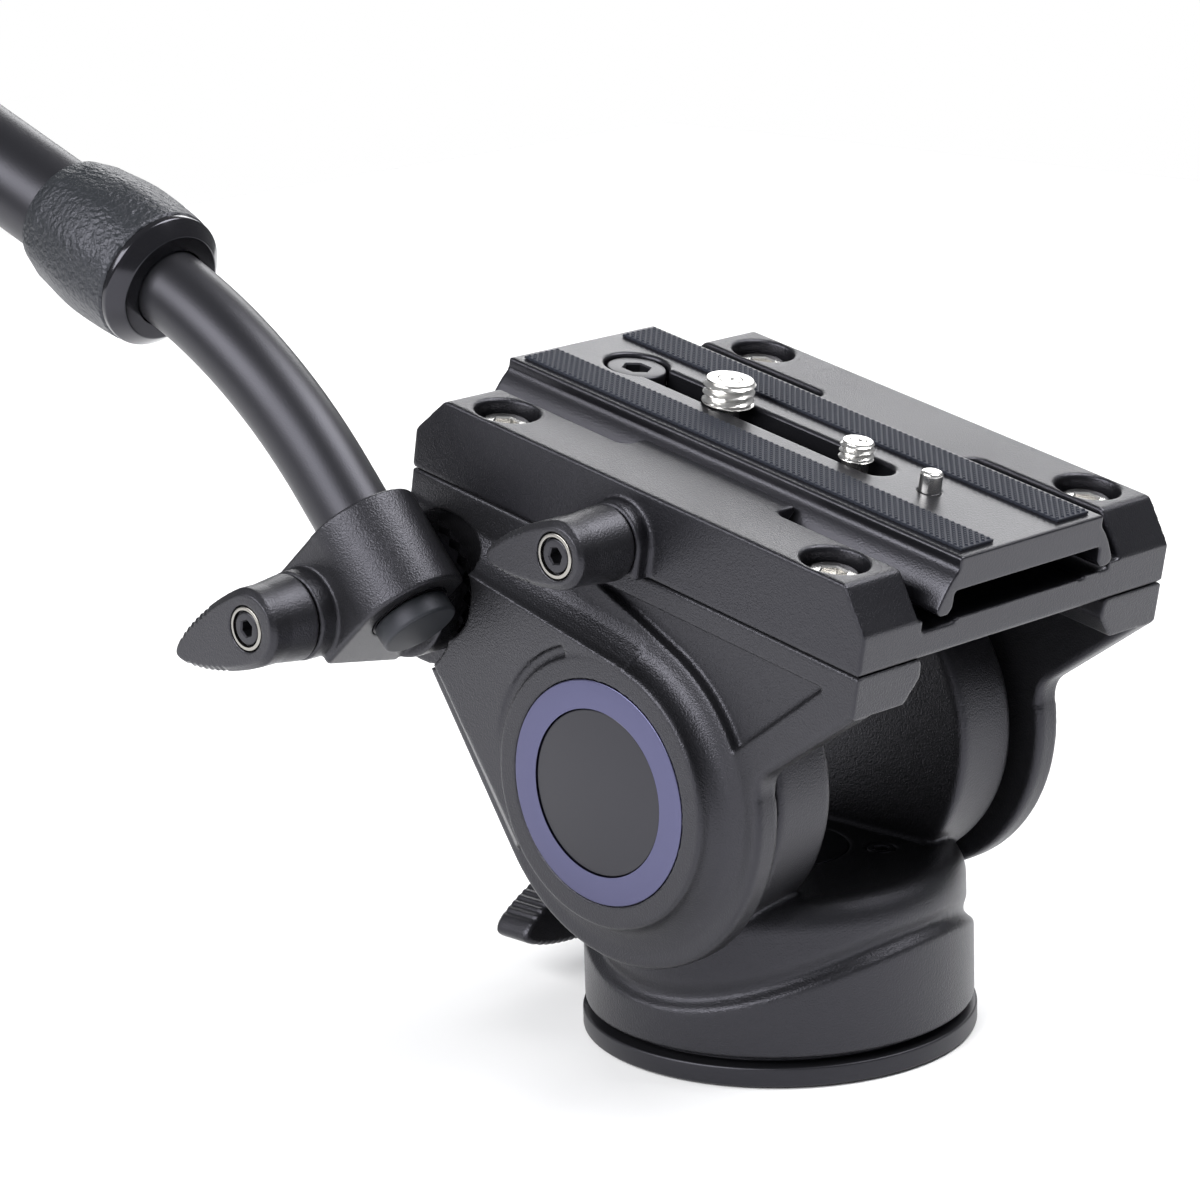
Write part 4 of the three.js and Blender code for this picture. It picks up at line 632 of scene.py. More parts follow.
def knurl_tree():
    """Two staggered fields of a form over a strip that runs along X."""
    tree, source, sink = geometry_tree(
        "Diamond Knurl",
        [
            ("Form", "NodeSocketObject", None),
            ("Length", "NodeSocketFloat", 106.0),
            ("Width", "NodeSocketFloat", 8.0),
            ("Columns", "NodeSocketInt", 82),
            ("Rows", "NodeSocketInt", 6),
            ("Finish", "NodeSocketMaterial", None),
        ],
    )
    both = tree.nodes.new("GeometryNodeJoinGeometry")
    form = form_of(tree, source)
    column = math_node(tree, "DIVIDE", source.outputs["Length"], source.outputs["Columns"])
    row = math_node(tree, "DIVIDE", source.outputs["Width"], source.outputs["Rows"])
    for fewer in (0, 1):
        grid = tree.nodes.new("GeometryNodeMeshGrid")
        across = math_node(tree, "SUBTRACT", source.outputs["Columns"], fewer)
        beside = math_node(tree, "SUBTRACT", source.outputs["Rows"], fewer)
        tree.links.new(math_node(tree, "MULTIPLY", across, column), grid.inputs["Size X"])
        tree.links.new(math_node(tree, "MULTIPLY", beside, row), grid.inputs["Size Y"])
        tree.links.new(math_node(tree, "ADD", across, 1), grid.inputs["Vertices X"])
        tree.links.new(math_node(tree, "ADD", beside, 1), grid.inputs["Vertices Y"])
        lay = tree.nodes.new("GeometryNodeInstanceOnPoints")
        tree.links.new(grid.outputs["Mesh"], lay.inputs["Points"])
        tree.links.new(form, lay.inputs["Instance"])
        tree.links.new(lay.outputs["Instances"], both.inputs[0])
    closing(tree, source, sink, both.outputs[0])
    return tree


def empty_piece(name):
    piece = bpy.data.objects.new(name, bpy.data.meshes.new(name))
    bpy.context.scene.collection.objects.link(piece)
    return piece


def places_mesh(name, points):
    piece = empty_piece(name)
    piece.data.from_pydata(points, [], [])
    return piece


def grown(piece, tree, values):
    """The piece's mesh made by a tree: each value goes to the input of its name."""
    step = piece.modifiers.new("grow", "NODES")
    step.node_group = tree
    sockets = {item.name: item.identifier for item in tree.interface.items_tree if item.in_out == "INPUT"}
    for label, value in values.items():
        step[sockets[label]] = value
    piece.update_tag()
    bpy.context.view_layer.update()
    return applied(piece)


# Pieces. Each size is in millimetres.

BASE_RADIUS = 36.2
BASE_THICKNESS = 3.6
BASE_STEP_RADIUS = 32.6
BASE_TOP = 5.8
BASE_EDGE = 0.45
BUSH_RADIUS = 8.0
BUSH_FLANGE_RADIUS = 11.0
BUSH_FLANGE_ROOM = 2.2
BUSH_FLANGE_TOP = 2.15
BUSH_LOW = 0.4
BUSH_TOP = 5.75
THREAD_RADIUS = 4.1
THREAD_DEPTH = 0.55
THREAD_LENGTH = 5.35
THREAD_ROWS = 14


def base_plate():
    profile = broken(
        [
            (BUSH_FLANGE_RADIUS + SEAT_GAP, 0),
            (BASE_RADIUS, 0),
            (BASE_RADIUS, BASE_THICKNESS),
            (BASE_STEP_RADIUS, BASE_THICKNESS),
            (BASE_STEP_RADIUS, BASE_TOP),
            (BUSH_RADIUS + SEAT_GAP, BASE_TOP),
            (BUSH_RADIUS + SEAT_GAP, BUSH_FLANGE_ROOM),
            (BUSH_FLANGE_RADIUS + SEAT_GAP, BUSH_FLANGE_ROOM),
        ],
        BASE_EDGE,
    )
    plate = solid("base_plate_skin", turned(profile, 192))
    return finished(plate, PAN, "base", ["base_plate"], "tube", 40)


def thread_bush():
    outer = broken(
        [
            (THREAD_RADIUS, BUSH_LOW),
            (BUSH_FLANGE_RADIUS, BUSH_LOW),
            (BUSH_FLANGE_RADIUS, BUSH_FLANGE_TOP),
            (BUSH_RADIUS, BUSH_FLANGE_TOP),
            (BUSH_RADIUS, BUSH_TOP),
        ],
        0.25,
    )
    for i in range(THREAD_ROWS):
        root = THREAD_DEPTH if i % 2 else 0.0
        outer.append((THREAD_RADIUS + root, BUSH_TOP - THREAD_LENGTH * i / THREAD_ROWS))
    bush = solid("thread_bush_skin", turned(outer, 96))
    return finished(bush, PAN, "base", ["thread_bush"], "steel", 40)


# Pan housing

DRUM_BOTTOM = 5.0
DRUM_LOWER = 35.7
DRUM_UPPER = 34.4
FLOOR_RADIUS = 29.6
FLOOR_HEIGHT = 33.0
SHOULDER = 27.3
RIDGE_HEIGHT = 17.9
RIDGE_SWING = 5.2
RIDGE_TURN = 2.0
EAR_OUTER = 31.4
EAR_INNER = 17.6
EAR_RADIUS = 29.7
PAN_KNOB_HEIGHT = 14.5
PAN_BOSS_END = 38.6
PAN_BOSS_RADIUS = 9
FLOOR_SCREWS = [polar(19, 35.7), polar(19, 215.7)]
FLOOR_SCREW_HOLE = 2.65
FLOOR_SCREW_FOOT = 28

# The drum's side: steps (out, up) from its lower radius, and from its upper radius, at the ridge's height
DRUM_FOOT_ROUND = 0.7
RIDGE_FOOT = 1.2
RIDGE_CREST = ((0.0, -1.0), (-0.1, -0.4), (-0.5, 0.0))
RIDGE_HOLLOW = ((0.05, 0.55), (-0.55, 1.15), (-0.7, 1.8))
HOLLOW_LENGTH = 4.2
HOLLOW_MARGIN = 0.5
HOLLOW_RISE = 0.75
HOLLOW_LAST = 0.35
SHOULDER_STEPS = 12

EAR_EDGE = 1.6
POCKET_RADIUS = 20
POCKET_FLOOR = 22.4
SHOE_ROOM_RADIUS = 5.05
SHOE_ROOM_END = 14.7

# The room inside, from the base's step up past the bearing, the spindle and the nut to the cover
INNER_ROOM = (
    (0, -OVERRUN),
    (32.95, -OVERRUN),
    (32.95, 6.15),
    (15.35, 6.15),
    (15.35, 9.6),
    (10.35, 9.6),
    (10.35, 25),
    (11.75, 25),
    (11.75, 31.6),
    (13.05, 31.6),
    (13.05, FLOOR_HEIGHT + OVERRUN),
    (0, FLOOR_HEIGHT + OVERRUN),
)
COVER_PROFILE = ((0, 31.65), (13, 31.65), (13, 33.0), (3.2, 33.0), (2.8, 32.7), (0, 32.7))
COVER_EDGE = 0.22


def drum_side(angle):
    """The drum's side at one turn angle: a waved ridge with a hollow above it."""
    ridge = RIDGE_HEIGHT + RIDGE_SWING * math.cos(2 * (angle - math.radians(RIDGE_TURN)))
    side = arc((DRUM_LOWER - DRUM_FOOT_ROUND, DRUM_BOTTOM + DRUM_FOOT_ROUND), DRUM_FOOT_ROUND, -90, 0, 4)
    rise = ridge - RIDGE_FOOT - DRUM_BOTTOM
    side += [(DRUM_LOWER, DRUM_BOTTOM + rise * share) for share in (0.3, 0.6, 0.9)]
    side += [(DRUM_LOWER + out, ridge + up) for out, up in RIDGE_CREST]
    side += [(DRUM_UPPER + out, ridge + up) for out, up in RIDGE_HOLLOW]
    hollow_top = min(ridge + HOLLOW_LENGTH, SHOULDER - HOLLOW_MARGIN)
    side += [
        (DRUM_UPPER - HOLLOW_LAST, ridge + (hollow_top - ridge) * HOLLOW_RISE),
        (DRUM_UPPER, hollow_top),
    ]
    for i in range(1, SHOULDER_STEPS + 1):
        turn = QUARTER * i / SHOULDER_STEPS
        side.append((
            FLOOR_RADIUS + (DRUM_UPPER - FLOOR_RADIUS) * math.cos(turn),
            SHOULDER + (FLOOR_HEIGHT - SHOULDER) * math.sin(turn),
        ))
    return side


def at_ear(side):
    return moved(0, 0, TILT_HEIGHT) @ (TURN_RIGHT if side < 0 else TURN_LEFT)


def ear(side):
    corners = [(0, EAR_INNER), (EAR_RADIUS, EAR_INNER), (EAR_RADIUS, EAR_OUTER), (0, EAR_OUTER)]
    return solid("ear", turned(broken(corners, EAR_EDGE, 4), 144), at_ear(side))


def ear_pocket(side):
    return solid("pocket", rod(POCKET_RADIUS, POCKET_FLOOR, EAR_OUTER + OVERRUN, 96), at_ear(side))


def pan_housing():
    at_knob = moved(0, 0, PAN_KNOB_HEIGHT) @ TURN_BACK
    skin = solid("pan_housing_skin", waved(drum_side, 192))
    boss = solid("boss", rod(PAN_BOSS_RADIUS, FLOOR_RADIUS, PAN_BOSS_END, 72), at_knob)
    joined(skin, boss, ear(-1), ear(1))
    tools = [
        solid("inner_room", turned(INNER_ROOM, 96)),
        solid("shoe_room", rod(SHOE_ROOM_RADIUS, 0, SHOE_ROOM_END, 32), at_knob),
        solid("bolt_hole", rod(BOLT_HOLE, 0, PAN_BOSS_END + OVERRUN, 32), at_knob),
        ear_pocket(-1),
        ear_pocket(1),
    ]
    for x, y in FLOOR_SCREWS:
        hole = rod(FLOOR_SCREW_HOLE, FLOOR_SCREW_FOOT, FLOOR_HEIGHT + OVERRUN, 32)
        tools.append(solid("screw_hole", hole, moved(x, y, 0)))
    cut(skin, *tools)
    softened(skin, voxel=0.46, passes=5, keep=0.42)
    return finished(skin, PAN, "pan", ["pan_housing"], "cast")


def pan_cap():
    cap = solid("pan_cap_skin", turned(broken(COVER_PROFILE, COVER_EDGE), 128))
    return finished(cap, PAN, "pan", ["pan_cap"], "tube", 40)


SOCKET_LEAD = 0.3


def socket_head(name, radius, low, high, hex_radius, depth, edge=0.35):
    """A round screw head with a rounded rim and a hexagonal socket."""
    rim = broken([(0, low), (radius, low), (radius, high), (0, high)], edge, 4)
    head = solid(name, turned(rim, 72))
    hexagon = arc((0, 0), hex_radius, 0, 300, 5)
    mouth = arc((0, 0), hex_radius + SOCKET_LEAD, 0, 300, 5)
    socket = solid("socket", loft([
        [(x, y, high - depth) for x, y in hexagon],
        [(x, y, high - SOCKET_LEAD) for x, y in hexagon],
        [(x, y, high + LIP) for x, y in mouth],
        [(x, y, high + OVERRUN) for x, y in mouth],
    ]))
    return cut(head, socket)


def floor_screws(copies):
    head = socket_head(
        "floor_screw_form", radius=2.6, low=28.05, high=32.95, hex_radius=1.43, depth=2.9
    )
    places = places_mesh("floor_screws", [(x, y, 0) for x, y in FLOOR_SCREWS])
    screws = grown(places, copies, {"Form": head, "Finish": FINISHES["black_steel"]})
    bpy.data.objects.remove(head)
    nodes = ["floor_screw_1", "floor_screw_2"]
    return finished(screws, PAN, "pan", nodes, "black_steel", 35)


# Side arms: made about the tilt axis, x forward, y up, z outwards, then turned to the right

ARM_INNER = 34.9
ARM_OUTER = 40.4
ARM_RIM = 33.2
BOSS_FACE = 45.8
BOSS_TOP = 24.6
BOSS_FOOT = 29.8
FLANGE_TOP = 39.6
FLANGE_UNDER = 32.0
FLANGE_FRONT = 49.4
FLANGE_REAR = 58.6
FLANGE_INNER = 24.6
ROSETTE_BACK = 55.6
ROSETTE_UP = 17.75
ROSETTE_FACE = 38.4
ROSETTE_PAD = 15.6
ARM_REAR_ANGLE = 224
LAND_ANGLE = 85
RING_OUTER = 20.26
RING_INNER = 15.02
RING_SEAT = 44.2
CAP_SEAT = 43.6
SCREW_XS = (-43.15, 35.45)
SCREW_SIDE = 33.45
SCREW_PLACES = [(x, y, 0) for x in SCREW_XS for y in (-SCREW_SIDE, SCREW_SIDE)]

# The web: how far each level of its rim lies inside the outline
WEB_LEVELS = (
    (1.3, ARM_INNER),
    (0.65, 35.05),
    (0.2, 35.5),
    (0, 36.2),
    (0, 39.4),
    (0.25, 40.0),
    (0.7, 40.3),
    (1.3, ARM_OUTER),
)
WEB_CORE = 36.2
UNDER_SLOPE = 45
UNDER_FILLET = 5.0
FLANGE_STEP = 3.3
FLANGE_FLARE = 2.9
BOSS_COVE = ((29.2, 45.35), 4.6)
BOSS_CREST = 45.75

# The land: reach of its crest and of its foot, at each level
LAND_LEVELS = (
    (BOSS_FOOT, 30.8, WEB_CORE),
    (BOSS_FOOT, 30.8, 40.35),
    (27.6, 30.3, 41.2),
    (26.2, 28.2, 42.6),
    (25.1, 27.0, 44.2),
    (BOSS_TOP, 26.6, BOSS_FACE),
)
LAND_FALL = 2.2

# The panel: its floor follows the boss between two angles, and its walls spread outwards
PANEL_RADIUS = 30
PANEL_FROM = 73
PANEL_TO = 34.5
PANEL_TOP = 34.9
PANEL_FRONT = 41.6
PANEL_MIDDLE = polar(38, 53.75)
PANEL_LEVELS = ((1, 38.4), (1.01, 38.9), (1.045, ARM_OUTER), (1.14, BOSS_FACE))

CRESCENT_OUTER = 26.4
CRESCENT_INNER = 24.3
CRESCENT_FROM = 118
CRESCENT_TO = 214
CRESCENT_DEPTH = 1.4

PAD_FACE = 37.2
RECESS_TOP = 47
CLAMP_RUN_RADIUS = 11.6
CLAMP_RUN_PLACE = (8.3, 5.2)
HUB_RADIUS = 20
HUB_FACE = 31.75
RING_ROOM = 20.31
HEAD_ROOM_RADIUS = 5.5
HEAD_ROOM_FLOOR = 39.9
AXLE_BORE = 8.05
ARM_BORE_START = 33.9
ARM_SCREW_HOLE = 2.55
TILT_KNOB_BACK = 28.2
TILT_BOSS_RADIUS = 7
TILT_BOSS_END = 47.2


def arm_outline():
    """The web's outline: front and under slope, round rim, straight tail, then the rosette's end."""
    normal = polar(1, -UNDER_SLOPE)
    along = polar(1, 90 - UNDER_SLOPE)
    reach = FLANGE_FRONT * normal[0] + FLANGE_UNDER * normal[1] + UNDER_FILLET
    climb = math.sqrt((ARM_RIM + UNDER_FILLET) ** 2 - reach ** 2)
    centre = (normal[0] * reach + along[0] * climb, normal[1] * reach + along[1] * climb)
    rim_angle = math.degrees(math.atan2(centre[1], centre[0]))
    rim = arc((0, 0), ARM_RIM, rim_angle, ARM_REAR_ANGLE - 360, 72)
    tangent = rim[-1]
    run = (ROSETTE_BACK + tangent[0]) / math.sin(math.radians(ARM_REAR_ANGLE - 180))
    rise = run * math.cos(math.radians(ARM_REAR_ANGLE - 180))
    tail = [
        (-ROSETTE_BACK, tangent[1] + rise),
        (-ROSETTE_BACK - ROSETTE_PAD / 2, ROSETTE_UP),
        (-FLANGE_REAR, ROSETTE_UP + ROSETTE_PAD / 2),
        (-FLANGE_REAR, FLANGE_TOP),
    ]
    front = [(FLANGE_FRONT, FLANGE_TOP), (FLANGE_FRONT, FLANGE_UNDER)]
    fillet = arc(centre, UNDER_FILLET, 180 - UNDER_SLOPE, 180 + rim_angle, 12)
    return front + fillet + rim + tail


def arm_flange():
    outline = rounded(
        [
            (-FLANGE_INNER, FLANGE_TOP),
            (-FLANGE_INNER + 0.5, FLANGE_TOP - FLANGE_STEP),
            (-FLANGE_INNER - FLANGE_FLARE, FLANGE_UNDER),
            (-ARM_OUTER, FLANGE_UNDER),
            (-ARM_OUTER, FLANGE_TOP),
        ],
        0.5,
    )
    return solid("flange", raised(outline, -FLANGE_REAR, FLANGE_FRONT), TURN_FRONT)


def arm_boss():
    cove = arc(*BOSS_COVE, 258, 190, 10)
    profile = [(0, WEB_CORE), (BOSS_FOOT, WEB_CORE), (BOSS_FOOT, ARM_OUTER)]
    profile += [(r, h) for r, h in cove if r < BOSS_FOOT]
    profile += [(BOSS_TOP, 45.2), (BOSS_TOP - 0.2, 45.6), (BOSS_TOP - 0.6, BOSS_CREST), (0, BOSS_CREST)]
    return solid("boss", turned(profile, 192), TURN_RIGHT)


def land_outline(crest_reach, foot_reach):
    crest = polar(crest_reach, LAND_ANGLE)
    foot = polar(foot_reach, ARM_REAR_ANGLE)
    crest_run = (FLANGE_REAR + crest[0]) / math.sin(math.radians(LAND_ANGLE))
    foot_run = (FLANGE_REAR + foot[0]) / math.sin(math.radians(ARM_REAR_ANGLE - 180))
    return [
        crest,
        (-FLANGE_REAR, crest[1] + crest_run * math.cos(math.radians(LAND_ANGLE))),
        (-FLANGE_REAR, foot[1] + foot_run * math.cos(math.radians(ARM_REAR_ANGLE - 180))),
        foot,
        (0, 0),
    ]


def arm_land():
    """The land from the boss to the rosette; its face falls from its crest to the foot."""
    crest = polar(1, LAND_ANGLE)
    foot_reach = LAND_LEVELS[-1][1]
    span = BOSS_TOP - foot_reach * math.cos(math.radians(ARM_REAR_ANGLE - LAND_ANGLE))
    fall = LAND_FALL / span
    rings = []
    for out, foot, height in LAND_LEVELS:
        ring = []
        for x, y in land_outline(out, foot):
            face = BOSS_FACE - SEAT_GAP - fall * (BOSS_TOP - x * crest[0] - y * crest[1])
            ring.append((x, y, min(height, face)))
        rings.append(ring)
    return solid("land", loft(rings), TURN_RIGHT)


def arm_panel():
    arc_end = polar(PANEL_RADIUS, PANEL_FROM)
    run = (PANEL_TOP - arc_end[1]) / math.cos(math.radians(PANEL_FROM))
    floor = [(PANEL_FRONT, PANEL_TOP), (arc_end[0] - run * math.sin(math.radians(PANEL_FROM)), PANEL_TOP)]
    floor += arc((0, 0), PANEL_RADIUS, PANEL_FROM, PANEL_TO, 24)
    middle_x, middle_y = PANEL_MIDDLE
    rings = []
    for share, level in PANEL_LEVELS:
        if share == 1:
            rings.append([(x, y, level) for x, y in floor])
        else:
            rings.append([
                (middle_x + (x - middle_x) * share, middle_y + (y - middle_y) * share, level)
                for x, y in floor
            ])
    return solid("panel", loft(rings), TURN_RIGHT)


def arm_crescent():
    back = arc((0, 0), CRESCENT_OUTER, CRESCENT_TO, CRESCENT_FROM, 40)
    front = arc((0, 0), CRESCENT_INNER, CRESCENT_FROM, CRESCENT_TO, 40)
    groove = raised(front + back, BOSS_FACE - CRESCENT_DEPTH, BOSS_FACE + OVERRUN)
    return solid("crescent", groove, TURN_RIGHT)


def side_arm():
    """The right arm as machined solids, before its cast skin."""
    outline = arm_outline()
    web_form = loft([[(x, y, level) for x, y in inset(outline, depth)] for depth, level in WEB_LEVELS])
    web = solid("side_arm_right_skin", web_form, TURN_RIGHT)
    at_rosette = moved(-ROSETTE_BACK, 0, ROSETTE_UP) @ TURN_RIGHT
    hub = solid("hub", rod(HUB_RADIUS, HUB_FACE, WEB_CORE, 96), TURN_RIGHT)
    joined(web, hub, arm_flange(), arm_boss(), arm_land())
    recess = solid("recess", rod(ROSETTE_PAD, PAD_FACE, RECESS_TOP, 96), at_rosette)
    run_x, run_up = CLAMP_RUN_PLACE
    at_run = moved(run_x - ROSETTE_BACK, 0, ROSETTE_UP + run_up) @ TURN_RIGHT
    run = solid("run", rod(CLAMP_RUN_RADIUS, PAD_FACE, RECESS_TOP, 96), at_run)
    cut(web, arm_panel(), arm_crescent(), recess, run)
    joined(web, solid("pad", rod(ROSETTE_PAD - 0.02, ARM_INNER, PAD_FACE, 96), at_rosette))
    tools = [
        solid("ring_room", rod(RING_ROOM, RING_SEAT, RECESS_TOP, 128), TURN_RIGHT),
        solid("cap_room", rod(RING_INNER, CAP_SEAT, RECESS_TOP, 96), TURN_RIGHT),
        solid("head_room", rod(HEAD_ROOM_RADIUS, HEAD_ROOM_FLOOR, BOSS_FACE, 48), TURN_RIGHT),
        solid("axle_bore", rod(AXLE_BORE, 0, WEB_CORE, 64), TURN_RIGHT),
        solid("shank_hole", rod(BOLT_HOLE, 0, BOSS_FACE, 48), TURN_RIGHT),
        solid("bolt_hole", rod(BOLT_HOLE, ARM_BORE_START, BOSS_FACE, 48), at_rosette),
    ]
    for x in SCREW_XS:
        hole = rod(ARM_SCREW_HOLE, ARM_BORE_START, ARM_OUTER + 0.2, 32)
        tools.append(solid("hole", hole, moved(x, -SCREW_SIDE, 0)))
    return cut(web, *tools)


def side_arms():
    right = softened(side_arm(), voxel=0.36, passes=4, keep=0.42)
    left = mirrored(right, "side_arm_left_skin")
    finished(right, CAGE, "cage", ["side_arm_right"], "cast")
    place = moved(-TILT_KNOB_BACK, 0, 0) @ TURN_LEFT
    corners = band(0, TILT_BOSS_RADIUS, WEB_CORE, TILT_BOSS_END)
    joined(left, solid("boss", turned(broken(corners, 0.5, 4), 96), place))
    room_end = TILT_BOSS_END + OVERRUN
    hole = solid("hole", rod(BOLT_HOLE, 30, room_end, 48), place)
    ring_room = solid("ring_room", rod(RING_ROOM, RING_SEAT, room_end, 128), TURN_LEFT)
    cut(left, hole, ring_room)
    finished(left, CAGE, "cage", ["side_arm_left"], "cast")


TOOTH_COUNT = 24
TOOTH_CORE = 5.0
TOOTH_RIM = 12.8
TOOTH_DROP = 1.2
TOOTH_CREST = 0.12
TOOTH_ROOT = 0.6
TOOTH_GAP = 0.3


def rosettes(ring_of):
    """Face teeth on each arm and on the clamp, made as copies of one tooth about the bolt's axis."""
    tooth = tooth_form()
    values = {"Form": tooth, "Count": TOOTH_COUNT, "Finish": FINISHES["cast"]}
    at_rosette = CAGE @ moved(-ROSETTE_BACK, 0, ROSETTE_UP)
    for side, turn in (("right", TURN_RIGHT), ("left", TURN_LEFT)):
        ring = grown(empty_piece(f"rosette_{side}"), ring_of, values)
        ring.data.transform(moved(0, 0, ROSETTE_FACE))
        finished(ring, at_rosette @ turn, "cage", [f"side_arm_{side}"], "cast", 20)
    ring = grown(empty_piece("rosette_clamp"), ring_of, values)
    ring.data.transform(Matrix.Scale(-1, 4, (0, 0, 1)))
    ring.data.transform(turned_about("Z", 180 / TOOTH_COUNT))
    ring.data.flip_normals()
    ring.data.transform(moved(0, 0, ROSETTE_FACE + TOOTH_GAP))
    finished(ring, HANDLE @ TURN_RIGHT, "handle", ["handle_clamp"], "cast", 20)
    bpy.data.objects.remove(tooth)


def tooth_form():
    """One tooth: a ridge along +X from the core to the rim, its crest at height zero."""
    half = math.pi / TOOTH_COUNT
    points = []
    for radius in (TOOTH_CORE, TOOTH_RIM):
        drop = TOOTH_DROP * radius / TOOTH_RIM
        side, along = radius * math.sin(half), radius * math.cos(half)
        crest = TOOTH_CREST * radius / TOOTH_RIM
        points.append([
            (along, -side, -drop - TOOTH_ROOT),
            (along, side, -drop - TOOTH_ROOT),
            (along, side, -drop),
            (radius, side * crest, 0),
            (radius, -side * crest, 0),
            (along, -side, -drop),
        ])
    verts = points[0] + points[1]
    faces = [[0, 1, 2, 3, 4, 5], [11, 10, 9, 8, 7, 6]]
    faces += [[i, i + 6, (i + 1) % 6 + 6, (i + 1) % 6] for i in range(6)]
    return solid("tooth_form", (verts, faces))


RING_HOLE = RING_INNER + 0.08
RING_LOW = 44.25
RING_EDGE = 0.28
CAP_RADIUS = RING_INNER - 0.06
CAP_LOW = 43.65
CAP_FACE = 45.55
CAP_EDGE = 0.3


def trim_rings():
    ring_form = turned(broken(band(RING_HOLE, RING_OUTER, RING_LOW, BOSS_FACE), RING_EDGE, 4), 256)
    cap_form = turned(broken(band(0, CAP_RADIUS, CAP_LOW, CAP_FACE), CAP_EDGE, 4), 192)
    for side, turn in (("right", TURN_RIGHT), ("left", TURN_LEFT)):
        ring = solid(f"trim_ring_{side}_skin", ring_form, turn)
        finished(ring, CAGE, "cage", [f"trim_ring_{side}"], "ring", 50)
        cap = solid(f"centre_cap_{side}_skin", cap_form, turn)
        finished(cap, CAGE, "cage", [f"centre_cap_{side}"], "cap", 50)


# Top block: made in the cage's own frame, x forward, z up

RAIL_TOP = 54.3
GROOVE_FLOOR = 44.7
CHANNEL_FLOOR = 45.3
FAR_LEDGE = 45.8
WALL_FOOT = 46.8
OVERHANG_LIP = 53.1
COUNTERBORE_FLOOR = 48.6
PLATE_KNOB_X = 6.1
PLATE_KNOB_UP = 44.6
PLATE_BOSS_END = 43.6
PLATE_BOSS_RADIUS = 7.0
BLOCK_BREAK = 0.5
END_BREAK = 0.4
END_FOOT = 46.8
FRONT_SLOPE = (5.2, 6.0)
REAR_SLOPE = (6.1, 7.0)
RAIL_FRONT_CUT = 15.2
RAIL_REAR_CUT = -20.6
RAIL_CUT_FOOT = 19.0
RAIL_CUT_SIDE = 26.7
RAIL_CUT_CORNER = 2.4
JAW_ROOM = ((-15.4, -32.95, GROOVE_FLOOR), (3.2, -21.0, 51.6))
COUNTERBORE_RADIUS = 5.8
COUNTERBORE_MOUTH = 6.25
BLOCK_SCREW_HOLE = 2.8

# Each rail's lip, its wall and the wall's foot
RIGHT_WALL = (21.0, 25.6, GROOVE_FLOOR)
LEFT_WALL = (20.0, 23.9, FAR_LEDGE)


def wall(side, lip, half, foot):
    """The undercut wall of one rail, from its top to its foot."""
    return [
        (side * lip, RAIL_TOP),
        (side * lip, OVERHANG_LIP),
        (side * half, OVERHANG_LIP - (half - lip)),
        (side * half, foot),
    ]


def block_section():
    seat = FLANGE_TOP + SEAT_GAP
    right = [(-ARM_OUTER, seat), (-ARM_OUTER, RAIL_TOP)]
    right += wall(-1, *RIGHT_WALL) + [(-17.4, GROOVE_FLOOR), (-16.7, CHANNEL_FLOOR)]
    left = [(17.4, CHANNEL_FLOOR), (17.4, FAR_LEDGE)] + wall(1, *LEFT_WALL)[::-1]
    left += [(ARM_OUTER, RAIL_TOP), (ARM_OUTER, seat)]
    return rounded(right + left, BLOCK_BREAK, 4)


def rail_cut(near, end):
    away = 1 if end > near else -1
    turn = RAIL_CUT_CORNER
    corner = [
        (near + away * (x + turn), y + RAIL_CUT_SIDE - turn)
        for x, y in arc((0, 0), turn, 180, 90, 14)
    ]
    outline = [(near, RAIL_CUT_FOOT)] + corner + [(end, RAIL_CUT_SIDE), (end, RAIL_CUT_FOOT)]
    return solid("rail_cut", raised(outline, WALL_FOOT, RAIL_TOP + OVERRUN))


def end_view(end, inward, slope):
    """One end of the block seen from its side, from below upwards."""
    slope_end, top_start = slope
    return [
        (end + inward * END_BREAK, FLANGE_TOP - OVERRUN),
        (end + inward * END_BREAK, FLANGE_TOP + END_BREAK / 2),
        (end, FLANGE_TOP + 0.6),
        (end, END_FOOT),
        (end + inward * 0.25, END_FOOT + 0.5),
        (end + inward * slope_end, RAIL_TOP - END_BREAK),
        (end + inward * top_start, RAIL_TOP),
        (end + inward * top_start, RAIL_TOP + OVERRUN),
    ]


